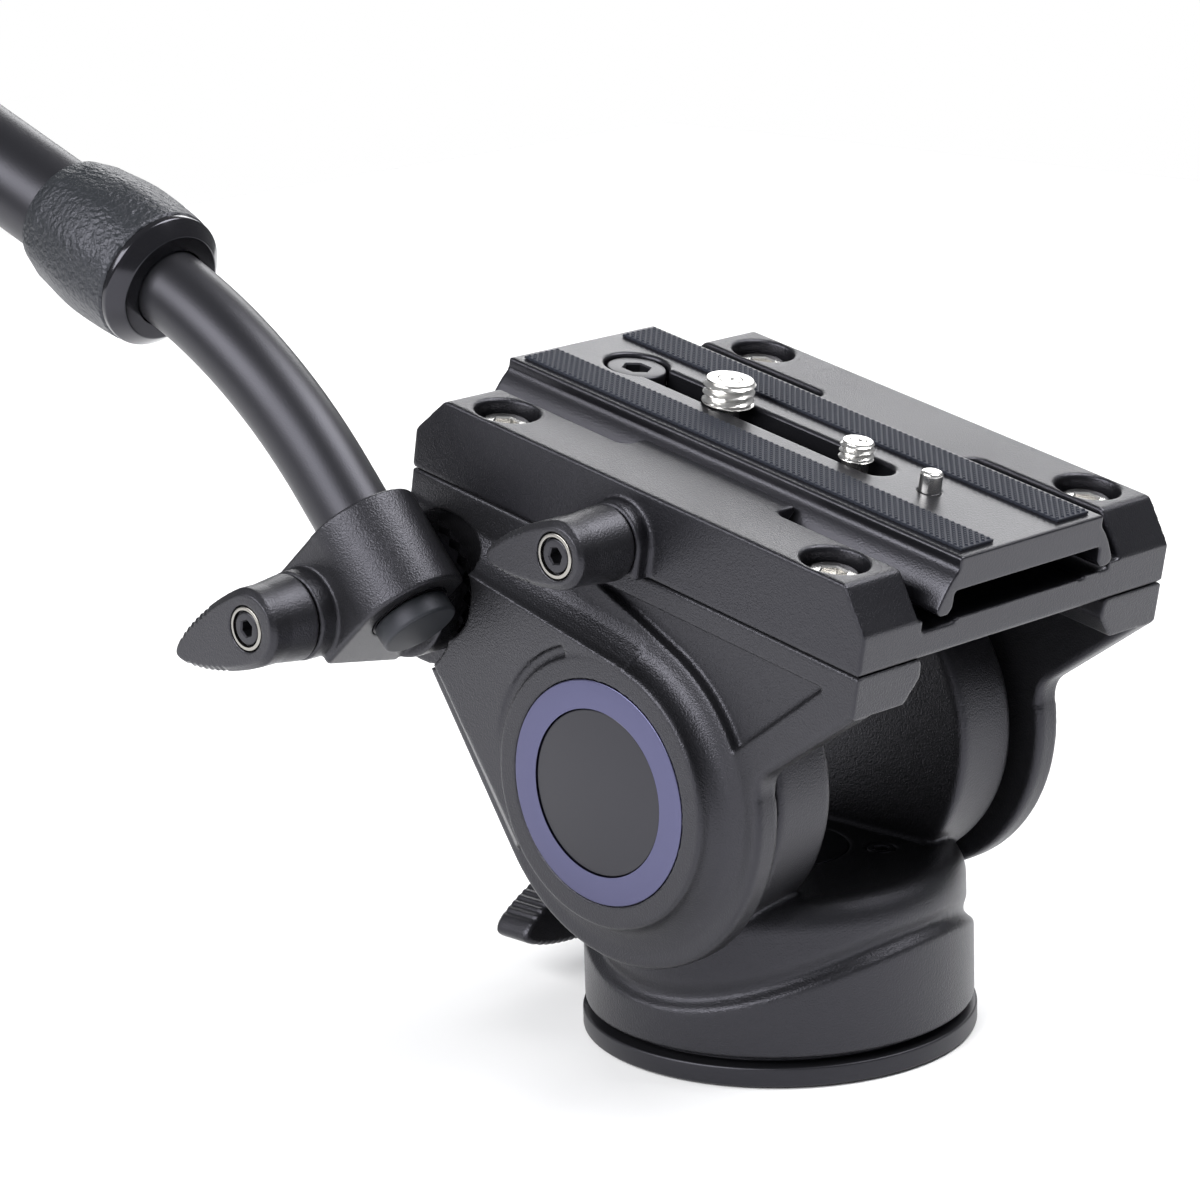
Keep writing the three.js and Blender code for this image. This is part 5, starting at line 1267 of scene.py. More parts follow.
def top_block():
    body = solid("top_block_skin", raised(block_section(), -FLANGE_REAR, FLANGE_FRONT), TURN_FRONT)
    front_end = end_view(FLANGE_FRONT, -1, FRONT_SLOPE)
    rear_end = end_view(-FLANGE_REAR, 1, REAR_SLOPE)
    side_view = rear_end[:1] + front_end + rear_end[:0:-1]
    envelope = solid("envelope", raised(side_view, -ARM_OUTER - OVERRUN, ARM_OUTER + OVERRUN), TURN_RIGHT)
    combined(body, [envelope], "INTERSECT")
    seat = FLANGE_TOP + SEAT_GAP
    arch = arc((-PLATE_KNOB_X, PLATE_KNOB_UP), PLATE_BOSS_RADIUS, 0, 180, 40)
    arch += [(-PLATE_KNOB_X - PLATE_BOSS_RADIUS, seat), (-PLATE_KNOB_X + PLATE_BOSS_RADIUS, seat)]
    boss_rings = [
        [(x, y, 39.4) for x, y in arch],
        [(x, y, PLATE_BOSS_END - BLOCK_BREAK) for x, y in arch],
        [(x, y, PLATE_BOSS_END) for x, y in inset(arch, BLOCK_BREAK)],
    ]
    joined(body, solid("boss", loft(boss_rings), TURN_RIGHT))
    front_cut = (RAIL_FRONT_CUT, FLANGE_FRONT + OVERRUN)
    rear_cut = (RAIL_REAR_CUT, -FLANGE_REAR - OVERRUN)
    at_knob = moved(-PLATE_KNOB_X, 0, PLATE_KNOB_UP) @ TURN_RIGHT
    tools = [
        rail_cut(*front_cut),
        rail_cut(*rear_cut),
        mirrored_tool(rail_cut(*front_cut)),
        mirrored_tool(rail_cut(*rear_cut)),
        solid("jaw_room", block(*JAW_ROOM)),
        solid("bolt_hole", rod(BOLT_HOLE, 25.6, 45, 48), at_knob),
    ]
    bore = [
        (0, COUNTERBORE_FLOOR),
        (COUNTERBORE_RADIUS, COUNTERBORE_FLOOR),
        (COUNTERBORE_RADIUS, RAIL_TOP - 0.45),
        (COUNTERBORE_MOUTH, RAIL_TOP + LIP),
        (COUNTERBORE_MOUTH, RAIL_TOP + OVERRUN),
        (0, RAIL_TOP + OVERRUN),
    ]
    for place in SCREW_PLACES:
        tools.append(solid("counterbore", turned(bore, 96), moved(*place)))
        tools.append(solid("screw_hole", rod(BLOCK_SCREW_HOLE, 38.6, RAIL_TOP, 32), moved(*place)))
    cut(body, *tools)
    softened(body, voxel=0.38, passes=2, keep=0.36)
    return finished(body, CAGE, "cage", ["top_block"], "machined")


def mirrored_tool(tool):
    tool.data.transform(MIRROR_SIDE)
    tool.data.flip_normals()
    return tool


def block_screws(copies):
    head = socket_head("block_screw_form", 4.3, 48.65, 52.25, 2.37, 2.2, 0.5)
    joined(head, solid("shank", rod(2.5, 34.2, 49, 32)))
    places = places_mesh("block_screws", SCREW_PLACES)
    screws = grown(places, copies, {"Form": head, "Finish": FINISHES["steel"]})
    bpy.data.objects.remove(head)
    nodes = [f"block_screw_{i}" for i in range(1, 5)]
    return finished(screws, CAGE, "cage", nodes, "steel", 35)


# Camera plate

PLATE_TOP = 56.9
PLATE_UNDER = 47.0
DECK_UNDER = 51.0
PLATE_FRONT = 50.2
PLATE_REAR = 58.4
TOP_HALF = 18.9
FOOT_OUTER = 23.2
FOOT_INNER = 19.3
FLANK_TOP = 55.0
FLANK_STEPS = 12
STOP_X = -44.2
STOP_SEAT = 53.3
STOP_SEAT_RADIUS = 6
STOP_SEAT_MOUTH = 6.4
PIN_X = 26.7
PIN_RADIUS = 2
PIN_TOP = 60.6
SLOT_FRONT = 14.4
SLOT_HALF = 3.3
MOUTH_BREAK = 0.45


def plate_section():
    fall = FLANK_TOP - PLATE_UNDER - 1.2
    flank = []
    for i in range(1, FLANK_STEPS + 1):
        out = i / FLANK_STEPS
        down = 0.32 * out ** 0.55 + 0.68 * out ** 1.9
        flank.append((TOP_HALF + (FOOT_OUTER - TOP_HALF) * out, FLANK_TOP - fall * down))
    half = [(TOP_HALF - 0.45, PLATE_TOP), (TOP_HALF - 0.1, PLATE_TOP - 0.12), (TOP_HALF, PLATE_TOP - 0.5)]
    half += [(TOP_HALF, FLANK_TOP), *flank]
    half += [
        (FOOT_OUTER - 0.15, PLATE_UNDER + 0.6),
        (FOOT_OUTER - 1.0, PLATE_UNDER),
        (FOOT_INNER + 1.0, PLATE_UNDER),
        (FOOT_INNER, PLATE_UNDER + 1.2),
        (FOOT_INNER, DECK_UNDER - 0.5),
        (FOOT_INNER - 0.5, DECK_UNDER),
    ]
    return half + [(-y, z) for y, z in reversed(half)]


def camera_plate():
    body = solid("camera_plate_skin", raised(plate_section(), -PLATE_REAR, PLATE_FRONT), TURN_FRONT)
    seat = [
        (0, STOP_SEAT),
        (STOP_SEAT_RADIUS, STOP_SEAT),
        (STOP_SEAT_RADIUS, PLATE_TOP - 0.4),
        (STOP_SEAT_MOUTH, PLATE_TOP + LIP),
        (STOP_SEAT_MOUTH, 58),
        (0, 58),
    ]
    slot = arc((SLOT_FRONT, 0), SLOT_HALF, -90, 90, 24) + arc((STOP_X, 0), SLOT_HALF, 90, 270, 24)
    mouth = inset(slot, -MOUTH_BREAK)
    slot_form = loft([
        [(x, y, DECK_UNDER - OVERRUN) for x, y in slot],
        [(x, y, PLATE_TOP - MOUTH_BREAK) for x, y in slot],
        [(x, y, PLATE_TOP + LIP) for x, y in mouth],
        [(x, y, PLATE_TOP + OVERRUN) for x, y in mouth],
    ])
    pin_hole = rod(PIN_RADIUS + SEAT_GAP, DECK_UNDER - OVERRUN, PLATE_TOP + OVERRUN, 32)
    cut(
        body,
        solid("seat", turned(seat, 96), moved(STOP_X, 0, 0)),
        solid("slot", slot_form),
        solid("pin_hole", pin_hole, moved(PIN_X, 0, 0)),
    )
    softened(body, voxel=0.3, passes=2, keep=0.34)
    return finished(body, CAGE, "plate", ["camera_plate"], "plate")


STRIP_LOW = 56.95
STRIP_INNER = 8.5
STRIP_OUTER = 16.9
STRIP_PITCH = 1.3
STRIP_MARGIN = 4
STRIP_THICKNESS = 0.5
STRIP_NOTCH = 0.22
STUD_HALF = STRIP_PITCH * 0.47
STUD_CREST = STUD_HALF * 0.4
STUD_LOW = -0.1
STUD_HIGH = 0.34


def stud_ring(half, height):
    return [(half, 0, height), (0, half, height), (-half, 0, height), (0, -half, height)]


def notched_edge(length, width, steps):
    """The outline of a strip, every second point of its long sides pushed in."""
    edge = []
    for way in (1, -1):
        for i in range(steps + 1):
            x = way * (length / 2 - length * i / steps)
            notch = STRIP_NOTCH if i % 2 and 0 < i < steps else 0.0
            edge.append((x, way * width / 2 - way * notch))
    return edge


def rubber_strips(knurl):
    """A thin slab with notched edges, under a field of small four-sided studs."""
    length = PLATE_FRONT + PLATE_REAR - STRIP_MARGIN
    width = STRIP_OUTER - STRIP_INNER
    middle_x = (PLATE_FRONT - PLATE_REAR) / 2
    columns = round(length / STRIP_PITCH)
    stud_form = loft([stud_ring(STUD_HALF, STUD_LOW), stud_ring(STUD_CREST, STUD_HIGH)])
    stud = solid("stud_form", stud_form)
    edge = notched_edge(length, width, columns * 2)
    slab_form = loft([
        [(x, y, STRIP_LOW) for x, y in edge],
        [(x, y, STRIP_LOW + STRIP_THICKNESS - 0.05) for x, y in edge],
        [(x, y, STRIP_LOW + STRIP_THICKNESS) for x, y in inset(edge, 0.06)],
    ])
    for side, label in ((-1, "right"), (1, "left")):
        centre = side * (STRIP_INNER + STRIP_OUTER) / 2
        slab = solid(f"rubber_strip_{label}_skin", slab_form, moved(middle_x, centre, 0))
        studs = grown(empty_piece("studs"), knurl, {
            "Form": stud,
            "Length": length - STRIP_PITCH,
            "Width": width - STRIP_PITCH,
            "Columns": columns - 1,
            "Rows": round(width / STRIP_PITCH) - 1,
            "Finish": FINISHES["rubber"],
        })
        studs.data.transform(moved(middle_x, centre, STRIP_LOW + 0.46))
        merged(slab, studs)
        finished(slab, CAGE, "plate", [f"rubber_strip_{label}"], "rubber", 25)
    bpy.data.objects.remove(stud)


def merged(piece, *others):
    """Other pieces' faces laid into the piece, without a boolean."""
    skin = bmesh.new()
    skin.from_mesh(piece.data)
    for other in others:
        skin.from_mesh(other.data)
        bpy.data.objects.remove(other)
    skin.to_mesh(piece.data)
    skin.free()
    return piece


def stop_screw():
    head = socket_head("stop_screw_skin", 5.5, 53.35, 56.3, 2.6, 1.8, 0.5)
    joined(head, solid("shank", rod(3.0, DECK_UNDER, 54, 48)))
    head.data.transform(moved(STOP_X, 0, 0))
    return finished(head, CAGE, "plate", ["stop_screw"], "black_steel", 35)


def alignment_pin():
    profile = broken(band(0, PIN_RADIUS, DECK_UNDER, PIN_TOP), 0.7, 5)
    pin = solid("alignment_pin_skin", turned(profile, 64), moved(PIN_X, 0, 0))
    return finished(pin, CAGE, "plate", ["alignment_pin"], "steel", 40)


CAMERA_SCREWS = (
    ("large", -21.4, 4.76, 61.6, 1.45),
    ("small", 9.6, 3.17, 60.4, 1.1),
)
SCREW_HEAD_RADIUS = 7.2
SCREW_HEAD_LOW = 47.7
SCREW_HEAD_TOP = 49.9
SCREW_NECK = 2.4
COIN_SLOT = ((-8.2, -0.8, 46.6), (8.2, 0.8, 48.8))


def screw_skin(radius, top, pitch):
    """A camera screw: head under the deck, neck in the slot, helical thread above it."""
    start = PLATE_TOP + 0.3
    depth = 0.55 * pitch
    head = [
        (SCREW_HEAD_RADIUS - 0.3, SCREW_HEAD_LOW),
        (SCREW_HEAD_RADIUS, SCREW_HEAD_LOW),
        (SCREW_HEAD_RADIUS, SCREW_HEAD_TOP - 0.2),
        (SCREW_HEAD_RADIUS - 0.2, SCREW_HEAD_TOP),
        (SCREW_NECK, SCREW_HEAD_TOP),
        (SCREW_NECK, start),
    ]
    rows = math.ceil((top - start) / pitch * 12)

    def profile_at(angle):
        points = list(head)
        for i in range(rows + 1):
            height = start + (top - start) * i / rows
            phase = ((height - start) / pitch - angle / FULL) % 1.0
            groove = abs(2 * phase - 1)
            fade = min(1.0, (top - height) / 0.5, (height - start) / 0.3)
            chamfer = max(0.0, 0.6 - (top - height)) * 0.9
            points.append((radius - depth * groove * max(fade, 0.0) - chamfer, height))
        return points

    return waved(profile_at, 96)


def camera_screws():
    for label, x, radius, top, pitch in CAMERA_SCREWS:
        body = solid(f"camera_screw_{label}_skin", screw_skin(radius, top, pitch))
        groove = band(radius * 0.42, radius * 0.5, top - 0.22, top + OVERRUN)
        centre = [(0, top - 0.7), (0.75, top + 0.02), (0.75, top + OVERRUN), (0, top + OVERRUN)]
        cut(
            body,
            solid("face_groove", turned(groove, 64)),
            solid("centre", turned(centre, 48)),
            solid("coin_slot", block(*COIN_SLOT)),
        )
        body.data.transform(moved(x, 0, 0))
        finished(body, CAGE, f"{label}_screw", [f"camera_screw_{label}"], "screw", 30)


# Wing knobs: made along +Z from the hub's foot, the wing along +X

WING_THICKNESS = 9.2
WING_RIBS = 7
WING_STEPS = 110
RIB_START = 0.42
RIB_SPAN = 0.48
RIB_DEPTH = 0.16
WING_BORE = 3.1
RING_RADIUS = 3.98
RING_BORE = 3.35
RING_SINK = 0.05
RING_HEIGHT = 0.8
KNOB_GAP = 0.3


def wing_outline(radius, reach):
    flank = []
    for i in range(1, WING_STEPS + 1):
        share = 0.998 * i / WING_STEPS
        half = radius * (1 - share ** 1.6) ** 0.6
        if RIB_START < share < RIB_START + RIB_SPAN:
            wave = math.cos(FULL * WING_RIBS * (share - RIB_START) / RIB_SPAN)
            half -= RIB_DEPTH * (1 - wave)
        flank.append((reach * share, half))
    hub = arc((0, 0), radius, 90, 270, 64)
    return hub + [(x, -y) for x, y in flank] + flank[::-1]


def wing_knob(name, radius, reach, hub_length):
    outline = wing_outline(radius, reach)
    face = hub_length + WING_THICKNESS

    def eased(depth, height):
        return [(x * (1 - depth / reach), y * (1 - depth / radius), height) for x, y in outline]

    wing = solid(name, loft([
        eased(1.0, hub_length),
        eased(0.35, hub_length + 0.3),
        eased(0.0, hub_length + 1.0),
        eased(0.0, face - 1.15),
        eased(0.3, face - 0.85),
        eased(1.2, face),
    ]))
    hub = solid("hub", turned([
        (0, 0),
        (radius + 0.35, 0),
        (radius + 0.7, 0.35),
        (radius, hub_length + WING_THICKNESS / 2),
        (0, hub_length + WING_THICKNESS / 2),
    ], 128))
    joined(wing, hub)
    cut(
        wing,
        solid("ring_seat", rod(RING_RADIUS + 0.24, face - 0.9, face + OVERRUN, 64)),
        solid("bore", rod(WING_BORE, -OVERRUN, face + OVERRUN, 48)),
    )
    return softened(wing, voxel=0.24, passes=2, keep=0.4)


# Each knob: its wing's half width and reach, its hub's length and its bolt's length
KNOB_SIZES = {
    "pan_lock": (7.2, 22.2, 5.0, 23.9),
    "tilt_lock": (6.1, 18.0, 4.0, 14.9),
    "plate_lock": (6.1, 18.0, 3.6, 10.65),
    "handle_lock": (7.2, 22.2, 1.2, 36.4),
}


def knob_set(label, place):
    """One knob: the moulded wing, its steel ring, and the socket bolt that it turns."""
    radius, reach, hub_length, shank = KNOB_SIZES[label]
    wing = wing_knob(f"{label}_knob_skin", radius, reach, hub_length)
    finished(wing, place, label, [f"{label}_knob"], "knob")
    face = hub_length + WING_THICKNESS
    ring_top = face - RING_SINK
    profile = broken(band(RING_BORE, RING_RADIUS, ring_top - RING_HEIGHT, ring_top), 0.22)
    ring = solid(f"{label}_knob_ring_skin", turned(profile, 96))
    finished(ring, place, label, [f"{label}_knob_ring"], "knob_ring", 40)
    bolt = socket_head(f"{label}_knob_bolt_skin", 3.0, -shank, face - 0.2, 1.5, 2.6, 0.4)
    finished(bolt, place, label, [f"{label}_knob_bolt"], "black_steel", 35)


def wing_knobs():
    at_pan = moved(-PAN_BOSS_END - KNOB_GAP, 0, PAN_KNOB_HEIGHT) @ TURN_BACK
    at_tilt = CAGE @ moved(-TILT_KNOB_BACK, TILT_BOSS_END + KNOB_GAP, 0) @ TURN_LEFT
    at_plate = CAGE @ moved(-PLATE_KNOB_X, -PLATE_BOSS_END - KNOB_GAP, PLATE_KNOB_UP) @ TURN_RIGHT
    at_handle = HANDLE @ moved(0, -CLAMP_BOSS_END - KNOB_GAP, 0) @ TURN_RIGHT
    knob_set("pan_lock", at_pan @ turned_about("Z", -100))
    knob_set("tilt_lock", at_tilt @ turned_about("Z", -205))
    knob_set("plate_lock", at_plate @ turned_about("Z", 200))
    knob_set("handle_lock", at_handle @ turned_about("Z", 250))


# Handle: the clamp's bolt axis is the origin, and the tube leaves along -X

CLAMP_SIDE = 54.5
CLAMP_UP = 11.0
CLAMP_HALF = 9.55
CLAMP_RADIUS = 11.0
CLAMP_BOSS_END = 69.4
CLAMP_DISC_END = 44.4
CLAMP_BOSS_RADIUS = 8.1
CLAMP_DISC_RADIUS = 12.8
CLAMP_WEB_EDGE = 0.5
CLAMP_WEB = (
    (-CLAMP_SIDE - CLAMP_RADIUS, CLAMP_UP),
    (-CLAMP_SIDE - CLAMP_RADIUS, -3.0),
    (-43.9, -10.2),
    (-43.9, CLAMP_UP),
)
LAND_ROOM = band(15.0, 25.0, 38.4, 46.15)
TUBE_RADIUS = 7.3
TUBE_WALL = 1.2
TUBE_SIDES = 96
ALONG_CLAMP = moved(0, -CLAMP_SIDE, CLAMP_UP) @ Matrix.Rotation(QUARTER, 4, "Y")


def handle_clamp():
    barrel = broken(band(0, CLAMP_RADIUS, -CLAMP_HALF, CLAMP_HALF), 0.6, 4)
    body = solid("handle_clamp_skin", turned(barrel, 144), ALONG_CLAMP)
    edge_level = CLAMP_HALF - CLAMP_WEB_EDGE
    web_levels = (
        (CLAMP_WEB_EDGE, -CLAMP_HALF),
        (0, -edge_level),
        (0, edge_level),
        (CLAMP_WEB_EDGE, CLAMP_HALF),
    )
    web = solid("web", loft([
        [(x, y, level) for x, y in inset(rounded(CLAMP_WEB, 1.2, 4), depth)]
        for depth, level in web_levels
    ]), TURN_FRONT)
    boss_profile = broken(band(0, CLAMP_BOSS_RADIUS, 39.4, CLAMP_BOSS_END), 0.6, 4)
    disc_profile = broken(band(0, CLAMP_DISC_RADIUS, 39.8, CLAMP_DISC_END), 0.4)
    joined(
        body,
        web,
        solid("boss", turned(boss_profile, 96), TURN_RIGHT),
        solid("disc", turned(disc_profile, 128), TURN_RIGHT),
    )
    cut(
        body,
        solid("tube_bore", rod(TUBE_RADIUS + 0.15, -11, 11, 96), ALONG_CLAMP),
        solid("bolt_bore", rod(BOLT_HOLE, 34.9, CLAMP_BOSS_END + OVERRUN, 48), TURN_RIGHT),
        solid("land_room", turned(LAND_ROOM, 96), TURN_RIGHT),
    )
    softened(body, voxel=0.27, passes=3, keep=0.4)
    return finished(body, HANDLE, "handle", ["handle_clamp"], "cast")


BEND_ANGLE = 27.7
BEND_CORNER = 47.3
BEND_RADIUS = 115.0
BEND_STEPS = 32
TUBE_REACH = 180.0


def handle_line():
    """The tube's middle line, straight in the clamp, one bend, straight to its hidden end."""
    tangent = BEND_RADIUS * math.tan(math.radians(BEND_ANGLE / 2))
    points = [(CLAMP_HALF, CLAMP_UP, 0.0), (-CLAMP_HALF, CLAMP_UP, 0.0)]
    start = -BEND_CORNER + tangent
    for i in range(BEND_STEPS + 1):
        turn = math.radians(BEND_ANGLE) * i / BEND_STEPS
        x = start - BEND_RADIUS * math.sin(turn)
        z = CLAMP_UP - BEND_RADIUS * (1 - math.cos(turn))
        points.append((x, z, turn))
    x, z, turn = points[-1]
    run = TUBE_REACH - tangent
    points.append((x - run * math.cos(turn), z - run * math.sin(turn), turn))
    return points


def tube_rings(line, radius):
    """Circles of points about the tube's line, one for each of its stations."""
    points = []
    for x, z, turn in line:
        along = Vector((math.cos(turn), 0, math.sin(turn)))
        up = Vector((-along.z, 0, along.x))
        for k in range(TUBE_SIDES):
            angle = FULL * k / TUBE_SIDES
            offset = up * math.cos(angle) * radius + Vector((0, 1, 0)) * math.sin(angle) * radius
            points.append(tuple(Vector((x, -CLAMP_SIDE, z)) + offset))
    return points


def handle_tube():
    """A bent tube: its outer skin, its bore and the two rings that close its ends."""
    line = handle_line()
    verts = tube_rings(line, TUBE_RADIUS) + tube_rings(line, TUBE_RADIUS - TUBE_WALL)
    last = (len(line) - 1) * TUBE_SIDES
    bore = len(line) * TUBE_SIDES
    bands = [(wall + ring * TUBE_SIDES, TUBE_SIDES) for wall in (0, bore) for ring in range(len(line) - 1)]
    bands += [(0, bore), (last, bore)]
    faces = []
    for low, step in bands:
        for k in range(TUBE_SIDES):
            after = (k + 1) % TUBE_SIDES
            faces.append([low + k, low + after, low + step + after, low + step + k])
    tube = solid("handle_tube_skin", (verts, faces))
    return finished(tube, HANDLE, "handle", ["handle_tube"], "tube", 50)


PLUG_NECK = 5.95
PLUG_RADIUS = 7.1
PLUG_SEAT = 9.6


def tube_plug():
    end = CLAMP_HALF + 4.1
    profile = broken([
        (0, 1.55),
        (PLUG_NECK, 1.55),
        (PLUG_NECK, PLUG_SEAT),
        (PLUG_RADIUS, PLUG_SEAT),
        (PLUG_RADIUS, end),
        (0, end),
    ], 0.7, 5)
    plug = solid("tube_plug_skin", turned(profile, 96), ALONG_CLAMP)
    return finished(plug, HANDLE, "handle", ["tube_plug"], "plug", 50)


COLLAR_REACH = 25.2
EXTENSION = HANDLE @ moved(
    -BEND_CORNER - COLLAR_REACH * math.cos(math.radians(BEND_ANGLE)),
    -CLAMP_SIDE,
    CLAMP_UP - COLLAR_REACH * math.sin(math.radians(BEND_ANGLE)),
) @ turned_about("Y", -BEND_ANGLE)
ALONG_HANDLE = EXTENSION @ TURN_BACK
COLLAR_LENGTH = 3.9
COLLAR_BORE = 7.65
COLLAR_RADIUS = 13.0
COLLAR_NECK = 10.2
COLLAR_END = 9.9
SLEEVE_LOW = 3.95
SLEEVE_HIGH = 30.45
SLEEVE_ROWS = 150
SLEEVE_BANDS = 10
BAND_DEPTH = 0.1
SWELL_SHARE = 0.42
TAPER_SHARE = 0.435
OUTER_TUBE_START = 24.5
OUTER_TUBE_BORE = 8.1
OUTER_TUBE_RADIUS = 9.5
TUBE_END = 205.0
GRIP_START = 88
GRIP_WAIST = 12.8
GRIP_SWELL = 1.2
GRIP_BORE = 9.65
GRIP_ROWS = 60
RIB_COUNT = 28
RIB_STATIONS = 24
RIB_SINK = 0.3


def lock_collar():
    face = COLLAR_LENGTH - SEAT_GAP
    profile = tube_profile([
        (COLLAR_BORE, 0),
        (COLLAR_RADIUS - 2.6, 0),
        (COLLAR_RADIUS, 2.6),
        (COLLAR_RADIUS, face),
        (COLLAR_NECK, face),
        (COLLAR_NECK, COLLAR_END),
        (COLLAR_BORE, COLLAR_END),
    ], 0.3, 4)
    collar = solid("lock_collar_skin", turned(profile, 192))
    return finished(collar, ALONG_HANDLE, "extension", ["lock_collar"], "gloss", 40)


def sleeve_radius(along):
    """The sleeve's outside: a slow swell, then a taper to the outer tube."""
    share = (along - SLEEVE_LOW) / (SLEEVE_HIGH - SLEEVE_LOW)
    if share < SWELL_SHARE:
        return 13.3 + 0.5 * math.sin(QUARTER * share / SWELL_SHARE)
    if share < SWELL_SHARE + TAPER_SHARE:
        t = (share - SWELL_SHARE) / TAPER_SHARE
        return 13.8 - 1.2 * (t * t * (3 - 2 * t) * 0.5 + 0.5 * t * t)
    t = (share - 0.855) / 0.145
    return 12.6 - 1.2 * t


def lock_sleeve():
    bore = [(COLLAR_NECK, SLEEVE_HIGH), (COLLAR_NECK, OUTER_TUBE_START)]
    bore += [(COLLAR_NECK + 0.35, OUTER_TUBE_START), (COLLAR_NECK + 0.35, SLEEVE_LOW)]

    def profile_at(angle):
        outer = []
        for i in range(SLEEVE_ROWS + 1):
            along = SLEEVE_LOW + (SLEEVE_HIGH - SLEEVE_LOW) * i / SLEEVE_ROWS
            ends = min(1.0, (along - SLEEVE_LOW) / 2.2, (SLEEVE_HIGH - along) / 3.0)
            bands = BAND_DEPTH * math.cos(SLEEVE_BANDS * angle) * max(0.0, ends)
            low_lip = 0.35 * max(0.0, 1 - (along - SLEEVE_LOW) / 0.45)
            high_lip = 0.5 * max(0.0, 1 - (SLEEVE_HIGH - along) / 0.5)
            radius = sleeve_radius(along) + bands - BAND_DEPTH - (low_lip + high_lip)
            outer.append((radius, along))
        return outer + bore

    sleeve = solid("lock_sleeve_skin", waved(profile_at, 240, hollow=True))
    return finished(sleeve, ALONG_HANDLE, "twist_lock", ["lock_sleeve"], "sleeve", 40)


def outer_tube():
    profile = tube_profile(band(OUTER_TUBE_BORE, OUTER_TUBE_RADIUS, OUTER_TUBE_START, TUBE_END), 0.15)
    tube = solid("outer_tube_skin", turned(profile, 128))
    return finished(tube, ALONG_HANDLE, "extension", ["outer_tube"], "tube", 40)


def grip_radius(share):
    return GRIP_WAIST + GRIP_SWELL * (2 * share - 1) ** 2


def hand_grip(ring_of):
    """A grip with a waist; its lengthwise ribs are copies of one rib about the tube."""
    outer = []
    for i in range(GRIP_ROWS + 1):
        along = GRIP_START + (TUBE_END - GRIP_START) * (i / GRIP_ROWS)
        start_lip = max(0.0, 1 - (along - GRIP_START) / 2.5)
        outer.append((grip_radius(i / GRIP_ROWS) - 2.5 * start_lip ** 2 - RIB_SINK, along))
    skin = [*outer, (GRIP_BORE, TUBE_END), (GRIP_BORE, GRIP_START)]
    body = solid("hand_grip_skin", turned(skin, 144))
    rings = []
    for radius, along, fade in grip_rib_stations():
        crest, root = radius + 0.29 - fade, radius - 0.6
        rings.append([(crest, -0.8, along), (crest, 0.8, along), (root, 1.0, along), (root, -1.0, along)])
    rib = solid("rib_form", loft(rings))
    values = {"Form": rib, "Count": RIB_COUNT, "Finish": FINISHES["grip"]}
    ribs = grown(empty_piece("ribs"), ring_of, values)
    bpy.data.objects.remove(rib)
    merged(body, ribs)
    return finished(body, ALONG_HANDLE, "extension", ["hand_grip"], "grip", 30)


def grip_rib_stations():
    """The stations of one rib: radius, place along the tube, and how much its ends sink."""
    stations = []
    for i in range(RIB_STATIONS + 1):
        share = 0.06 + 0.88 * i / RIB_STATIONS
        along = GRIP_START + (TUBE_END - GRIP_START) * share
        fade = RIB_SINK if i in (0, RIB_STATIONS) else 0.0
        stations.append((grip_radius(share) - RIB_SINK, along, fade))
    return stations


END_CAP_PROFILE = (
    (0, 199),
    (7.8, 199),
    (7.8, TUBE_END + 0.3),
    (13, TUBE_END + 0.3),
    (13, 207.55),
    (10.75, 209.8),
    (0, 209.8),
)


def end_cap():
    cap = solid("end_cap_skin", turned(broken(END_CAP_PROFILE, 0.6, 4), 128))
    return finished(cap, ALONG_HANDLE, "extension", ["end_cap"], "grip", 50)


# Settings shown in the sidebar


def colour_setting(name, description, default):
    return FloatVectorProperty(
        name=name,
        description=description,
        subtype="COLOR",
        default=default,
        min=0,
        max=1,
    )


class HeadFinish(bpy.types.PropertyGroup):
    casting: colour_setting("Castings", "Colour of the powder-coated castings", (0.0085, 0.0085, 0.0095))
    block: colour_setting(
        "Block and Plate",
        "Colour of the blasted and anodised block and plate",
        (0.0045, 0.0045, 0.0055),
    )
    tube: colour_setting("Tubes", "Colour of the handle tubes and black screws", (0.006, 0.006, 0.007))
    strips: colour_setting(
        "Rubber Strips",
        "Colour of the two strips on the camera plate",
        (0.012, 0.015, 0.022),
    )
    grip: colour_setting(
        "Grip Rubber",
        "Colour of the twist lock's sleeve and the hand grip",
        (0.013, 0.015, 0.017),
    )
    ring: colour_setting("Trim Ring", "Colour of the anodised ring on each side arm", (0.1, 0.1, 0.175))
    steel: colour_setting(
        "Bright Steel",
        "Colour of the stainless screws, pin and knob rings",
        (0.75, 0.74, 0.72),
    )


class HeadStudio(bpy.types.PropertyGroup):
    azimuth: FloatProperty(
        name="Camera Azimuth",
        description="Angle of the camera round the head, from behind the operator's right side",
        subtype="ANGLE",
        default=math.radians(45.19),
    )
    elevation: FloatProperty(
        name="Camera Elevation",
        description="Angle of the camera above the horizon",
        subtype="ANGLE",
        default=math.radians(14.70),
    )
    roll: FloatProperty(
        name="Camera Roll",
        description="Turn of the camera about its own line of sight",
        subtype="ANGLE",
        default=math.radians(-1.68),
    )
    distance: FloatProperty(
        name="Camera Distance",
        description="Distance from the camera to the point it looks at",
        unit="LENGTH",
        default=0.74075,
    )
    lens: FloatProperty(
        name="Lens",
        description="Focal length of the camera in millimetres",
        default=123.97,
    )
    floor: colour_setting("Floor", "Colour of the studio floor", (0.97, 0.97, 0.975))


# The studio

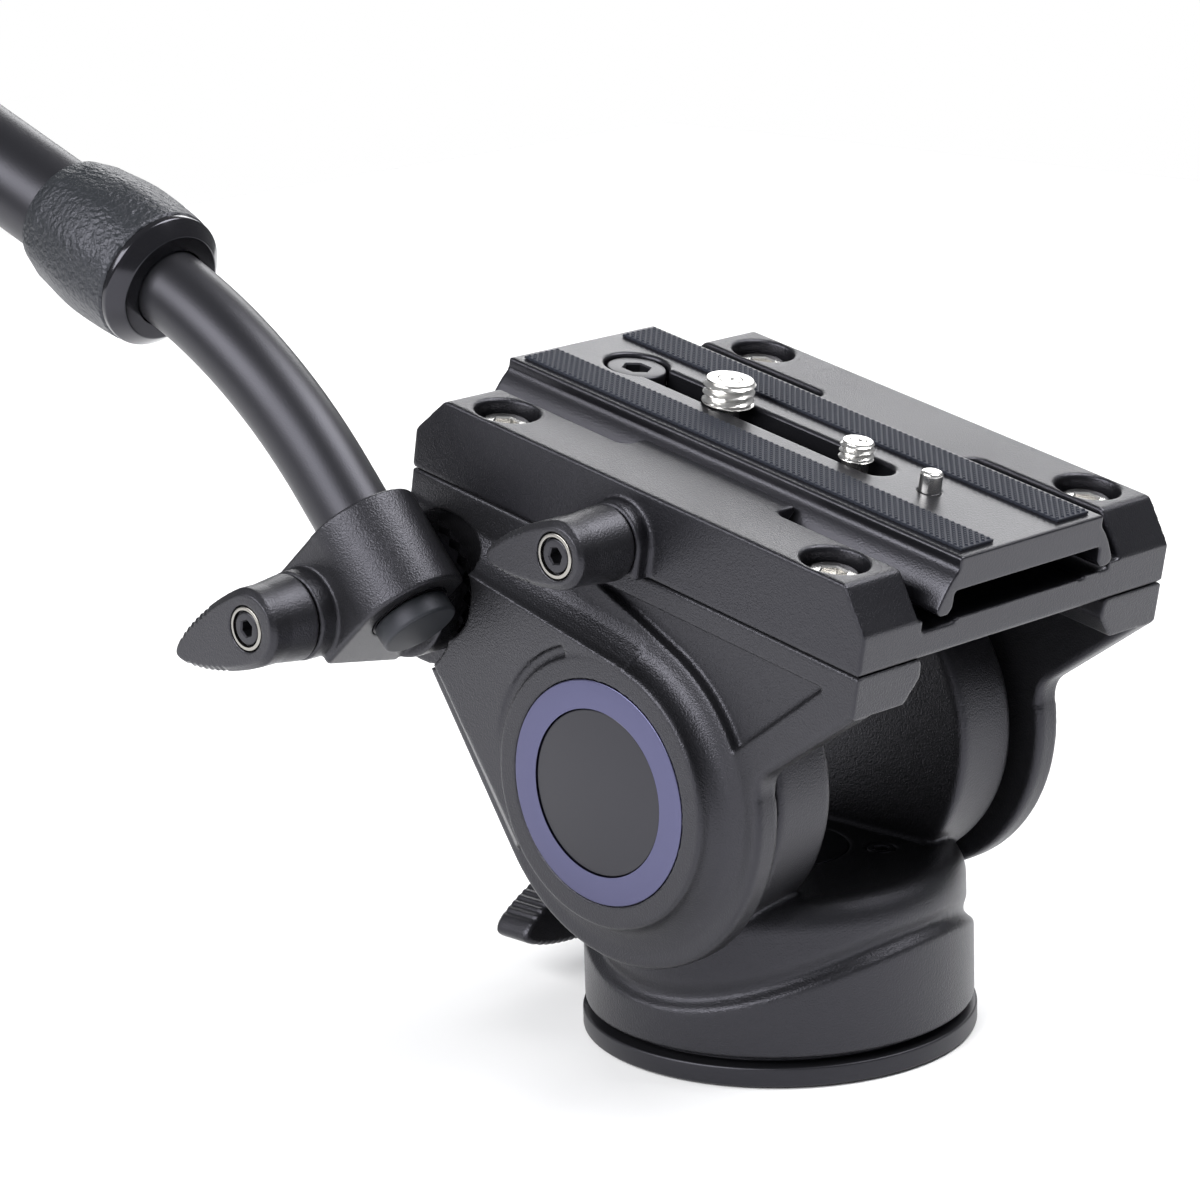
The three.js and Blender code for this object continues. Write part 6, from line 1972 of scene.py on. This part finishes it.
LOOK_RIGHT = -0.03089
LOOK_UP = 0.08007
FLOOR_REACH = 0.82
FLOOR_DROP = 0.0004
AIR_STRENGTH = 0.25
AIR_COLOUR = (0.94, 0.96, 1, 1)
WHITE = (1, 1, 1, 1)
PAPER_ROUGHNESS = 0.9
SENSOR_WIDTH = 36
NEAR_CLIP = 0.01
LIGHTS = (
    ("front_box", (-0.15, -1.1, 0.78), (1.35, 0.62), 25.0),
    ("high_box", (0.36, 0.5, 1.2), (0.8, 0.7), 20.0),
    ("back_box", (-0.76, 0.9, 0.6), (0.9, 0.35), 5.0),
)


def area_light(name, place, size, power):
    data = bpy.data.lights.new(name, "AREA")
    data.shape = "RECTANGLE"
    data.size, data.size_y = size
    data.energy = power
    lamp = bpy.data.objects.new(name, data)
    bpy.context.scene.collection.objects.link(lamp)
    lamp.location = place
    lamp.rotation_mode = "QUATERNION"
    lamp.rotation_quaternion = (Vector((0, 0, LOOK_UP)) - Vector(place)).to_track_quat("-Z", "Y")


class HEAD_OT_studio(bpy.types.Operator):
    """Makes the floor, the soft lights and the camera"""

    bl_idname = "head.studio"
    bl_label = "Studio"

    def execute(self, context):
        studio = context.scene.head_studio
        floor = solid("floor", ([
            (-FLOOR_REACH, -FLOOR_REACH, -FLOOR_DROP),
            (FLOOR_REACH, -FLOOR_REACH, -FLOOR_DROP),
            (FLOOR_REACH, FLOOR_REACH, -FLOOR_DROP),
            (-FLOOR_REACH, FLOOR_REACH, -FLOOR_DROP),
        ], [(0, 1, 2, 3)]))
        paper = bpy.data.materials.new("studio_paper")
        paper.use_nodes = True
        shader = paper.node_tree.nodes["Principled BSDF"]
        shader.inputs["Base Color"].default_value = (*studio.floor, 1)
        shader.inputs["Roughness"].default_value = PAPER_ROUGHNESS
        floor.data.materials.append(paper)
        world = bpy.data.worlds.new("studio_air")
        context.scene.world = world
        world.use_nodes = True
        sky = world.node_tree.nodes["Background"]
        sky.inputs["Color"].default_value = AIR_COLOUR
        sky.inputs["Strength"].default_value = AIR_STRENGTH
        paper_white = world.node_tree.nodes.new("ShaderNodeBackground")
        paper_white.inputs["Color"].default_value = WHITE
        ray = world.node_tree.nodes.new("ShaderNodeLightPath")
        seen = world.node_tree.nodes.new("ShaderNodeMixShader")
        output = world.node_tree.nodes["World Output"]
        links = world.node_tree.links
        links.new(ray.outputs["Is Camera Ray"], seen.inputs["Fac"])
        links.new(sky.outputs["Background"], seen.inputs[1])
        links.new(paper_white.outputs["Background"], seen.inputs[2])
        links.new(seen.outputs["Shader"], output.inputs["Surface"])
        for name, place, size, power in LIGHTS:
            area_light(name, place, size, power)
        turn, lift = studio.azimuth, studio.elevation
        back = Vector((math.sin(turn) * math.cos(lift), -math.cos(turn) * math.cos(lift), math.sin(lift)))
        right = Vector((math.cos(turn), math.sin(turn), 0))
        up = back.cross(right)
        across = right * math.cos(studio.roll) + up * math.sin(studio.roll)
        above = up * math.cos(studio.roll) - right * math.sin(studio.roll)
        lens = bpy.data.cameras.new("camera")
        lens.lens = studio.lens
        lens.sensor_width = SENSOR_WIDTH
        lens.clip_start = NEAR_CLIP
        camera = bpy.data.objects.new("camera", lens)
        context.scene.collection.objects.link(camera)
        turn_matrix = Matrix((across, above, back)).transposed().to_4x4()
        target = right * LOOK_RIGHT + Vector((0, 0, LOOK_UP))
        camera.matrix_world = Matrix.Translation(target + back * studio.distance) @ turn_matrix
        context.scene.camera = camera
        context.scene.view_settings.view_transform = "Standard"
        return {"FINISHED"}


class HEAD_OT_finishes(bpy.types.Operator):
    """Makes the finishes and gives each CAD node the finish of its slot"""

    bl_idname = "head.finishes"
    bl_label = "Finishes"

    def execute(self, context):
        make_finishes()
        dress_nodes()
        return {"FINISHED"}


class HEAD_OT_base(bpy.types.Operator):
    """Makes the base plate and the thread bush"""

    bl_idname = "head.base"
    bl_label = "Base"

    def execute(self, context):
        base_plate()
        thread_bush()
        return {"FINISHED"}


class HEAD_OT_pan(bpy.types.Operator):
    """Makes the pan housing, its cap and the screws in its floor"""

    bl_idname = "head.pan"
    bl_label = "Pan Housing"

    def execute(self, context):
        pan_housing()
        pan_cap()
        floor_screws(copies_tree())
        return {"FINISHED"}


class HEAD_OT_arms(bpy.types.Operator):
    """Makes the side arms, their rosettes, trim rings and caps"""

    bl_idname = "head.arms"
    bl_label = "Side Arms"

    def execute(self, context):
        side_arms()
        rosettes(ring_tree())
        trim_rings()
        return {"FINISHED"}


class HEAD_OT_block(bpy.types.Operator):
    """Makes the top block and its screws"""

    bl_idname = "head.block"
    bl_label = "Top Block"

    def execute(self, context):
        top_block()
        block_screws(copies_tree())
        return {"FINISHED"}


class HEAD_OT_plate(bpy.types.Operator):
    """Makes the camera plate with its strips, screws and pin"""

    bl_idname = "head.plate"
    bl_label = "Camera Plate"

    def execute(self, context):
        camera_plate()
        rubber_strips(knurl_tree())
        stop_screw()
        alignment_pin()
        camera_screws()
        return {"FINISHED"}


class HEAD_OT_knobs(bpy.types.Operator):
    """Makes the four wing knobs with their rings and bolts"""

    bl_idname = "head.knobs"
    bl_label = "Wing Knobs"

    def execute(self, context):
        wing_knobs()
        return {"FINISHED"}


class HEAD_OT_handle(bpy.types.Operator):
    """Makes the handle's clamp, tubes, twist lock and grip"""

    bl_idname = "head.handle"
    bl_label = "Handle"

    def execute(self, context):
        handle_clamp()
        handle_tube()
        tube_plug()
        lock_collar()
        lock_sleeve()
        outer_tube()
        hand_grip(ring_tree())
        end_cap()
        return {"FINISHED"}


class HEAD_PT_panel(bpy.types.Panel):
    """Lists the head's settings and the steps that build it"""

    bl_idname = "HEAD_PT_panel"
    bl_label = "Fluid Head"
    bl_space_type = "VIEW_3D"
    bl_region_type = "UI"
    bl_category = "Fluid Head"

    def draw(self, context):
        for group in (context.scene.head_finish, context.scene.head_studio):
            for name in group.__annotations__:
                self.layout.prop(group, name)
        for step in STEPS:
            self.layout.operator(step.bl_idname)


STEPS = (
    HEAD_OT_studio,
    HEAD_OT_finishes,
    HEAD_OT_base,
    HEAD_OT_pan,
    HEAD_OT_arms,
    HEAD_OT_block,
    HEAD_OT_plate,
    HEAD_OT_knobs,
    HEAD_OT_handle,
)
CLASSES = (HeadFinish, HeadStudio, *STEPS, HEAD_PT_panel)


def register():
    for item in CLASSES:
        bpy.utils.register_class(item)
    bpy.types.Scene.head_finish = PointerProperty(type=HeadFinish)
    bpy.types.Scene.head_studio = PointerProperty(type=HeadStudio)


def unregister():
    del bpy.types.Scene.head_finish
    del bpy.types.Scene.head_studio
    for item in reversed(CLASSES):
        bpy.utils.unregister_class(item)


def main():
    register()
    for step in STEPS:
        group, name = step.bl_idname.split(".")
        getattr(getattr(bpy.ops, group), name)()


if __name__ == "__main__":
    main()
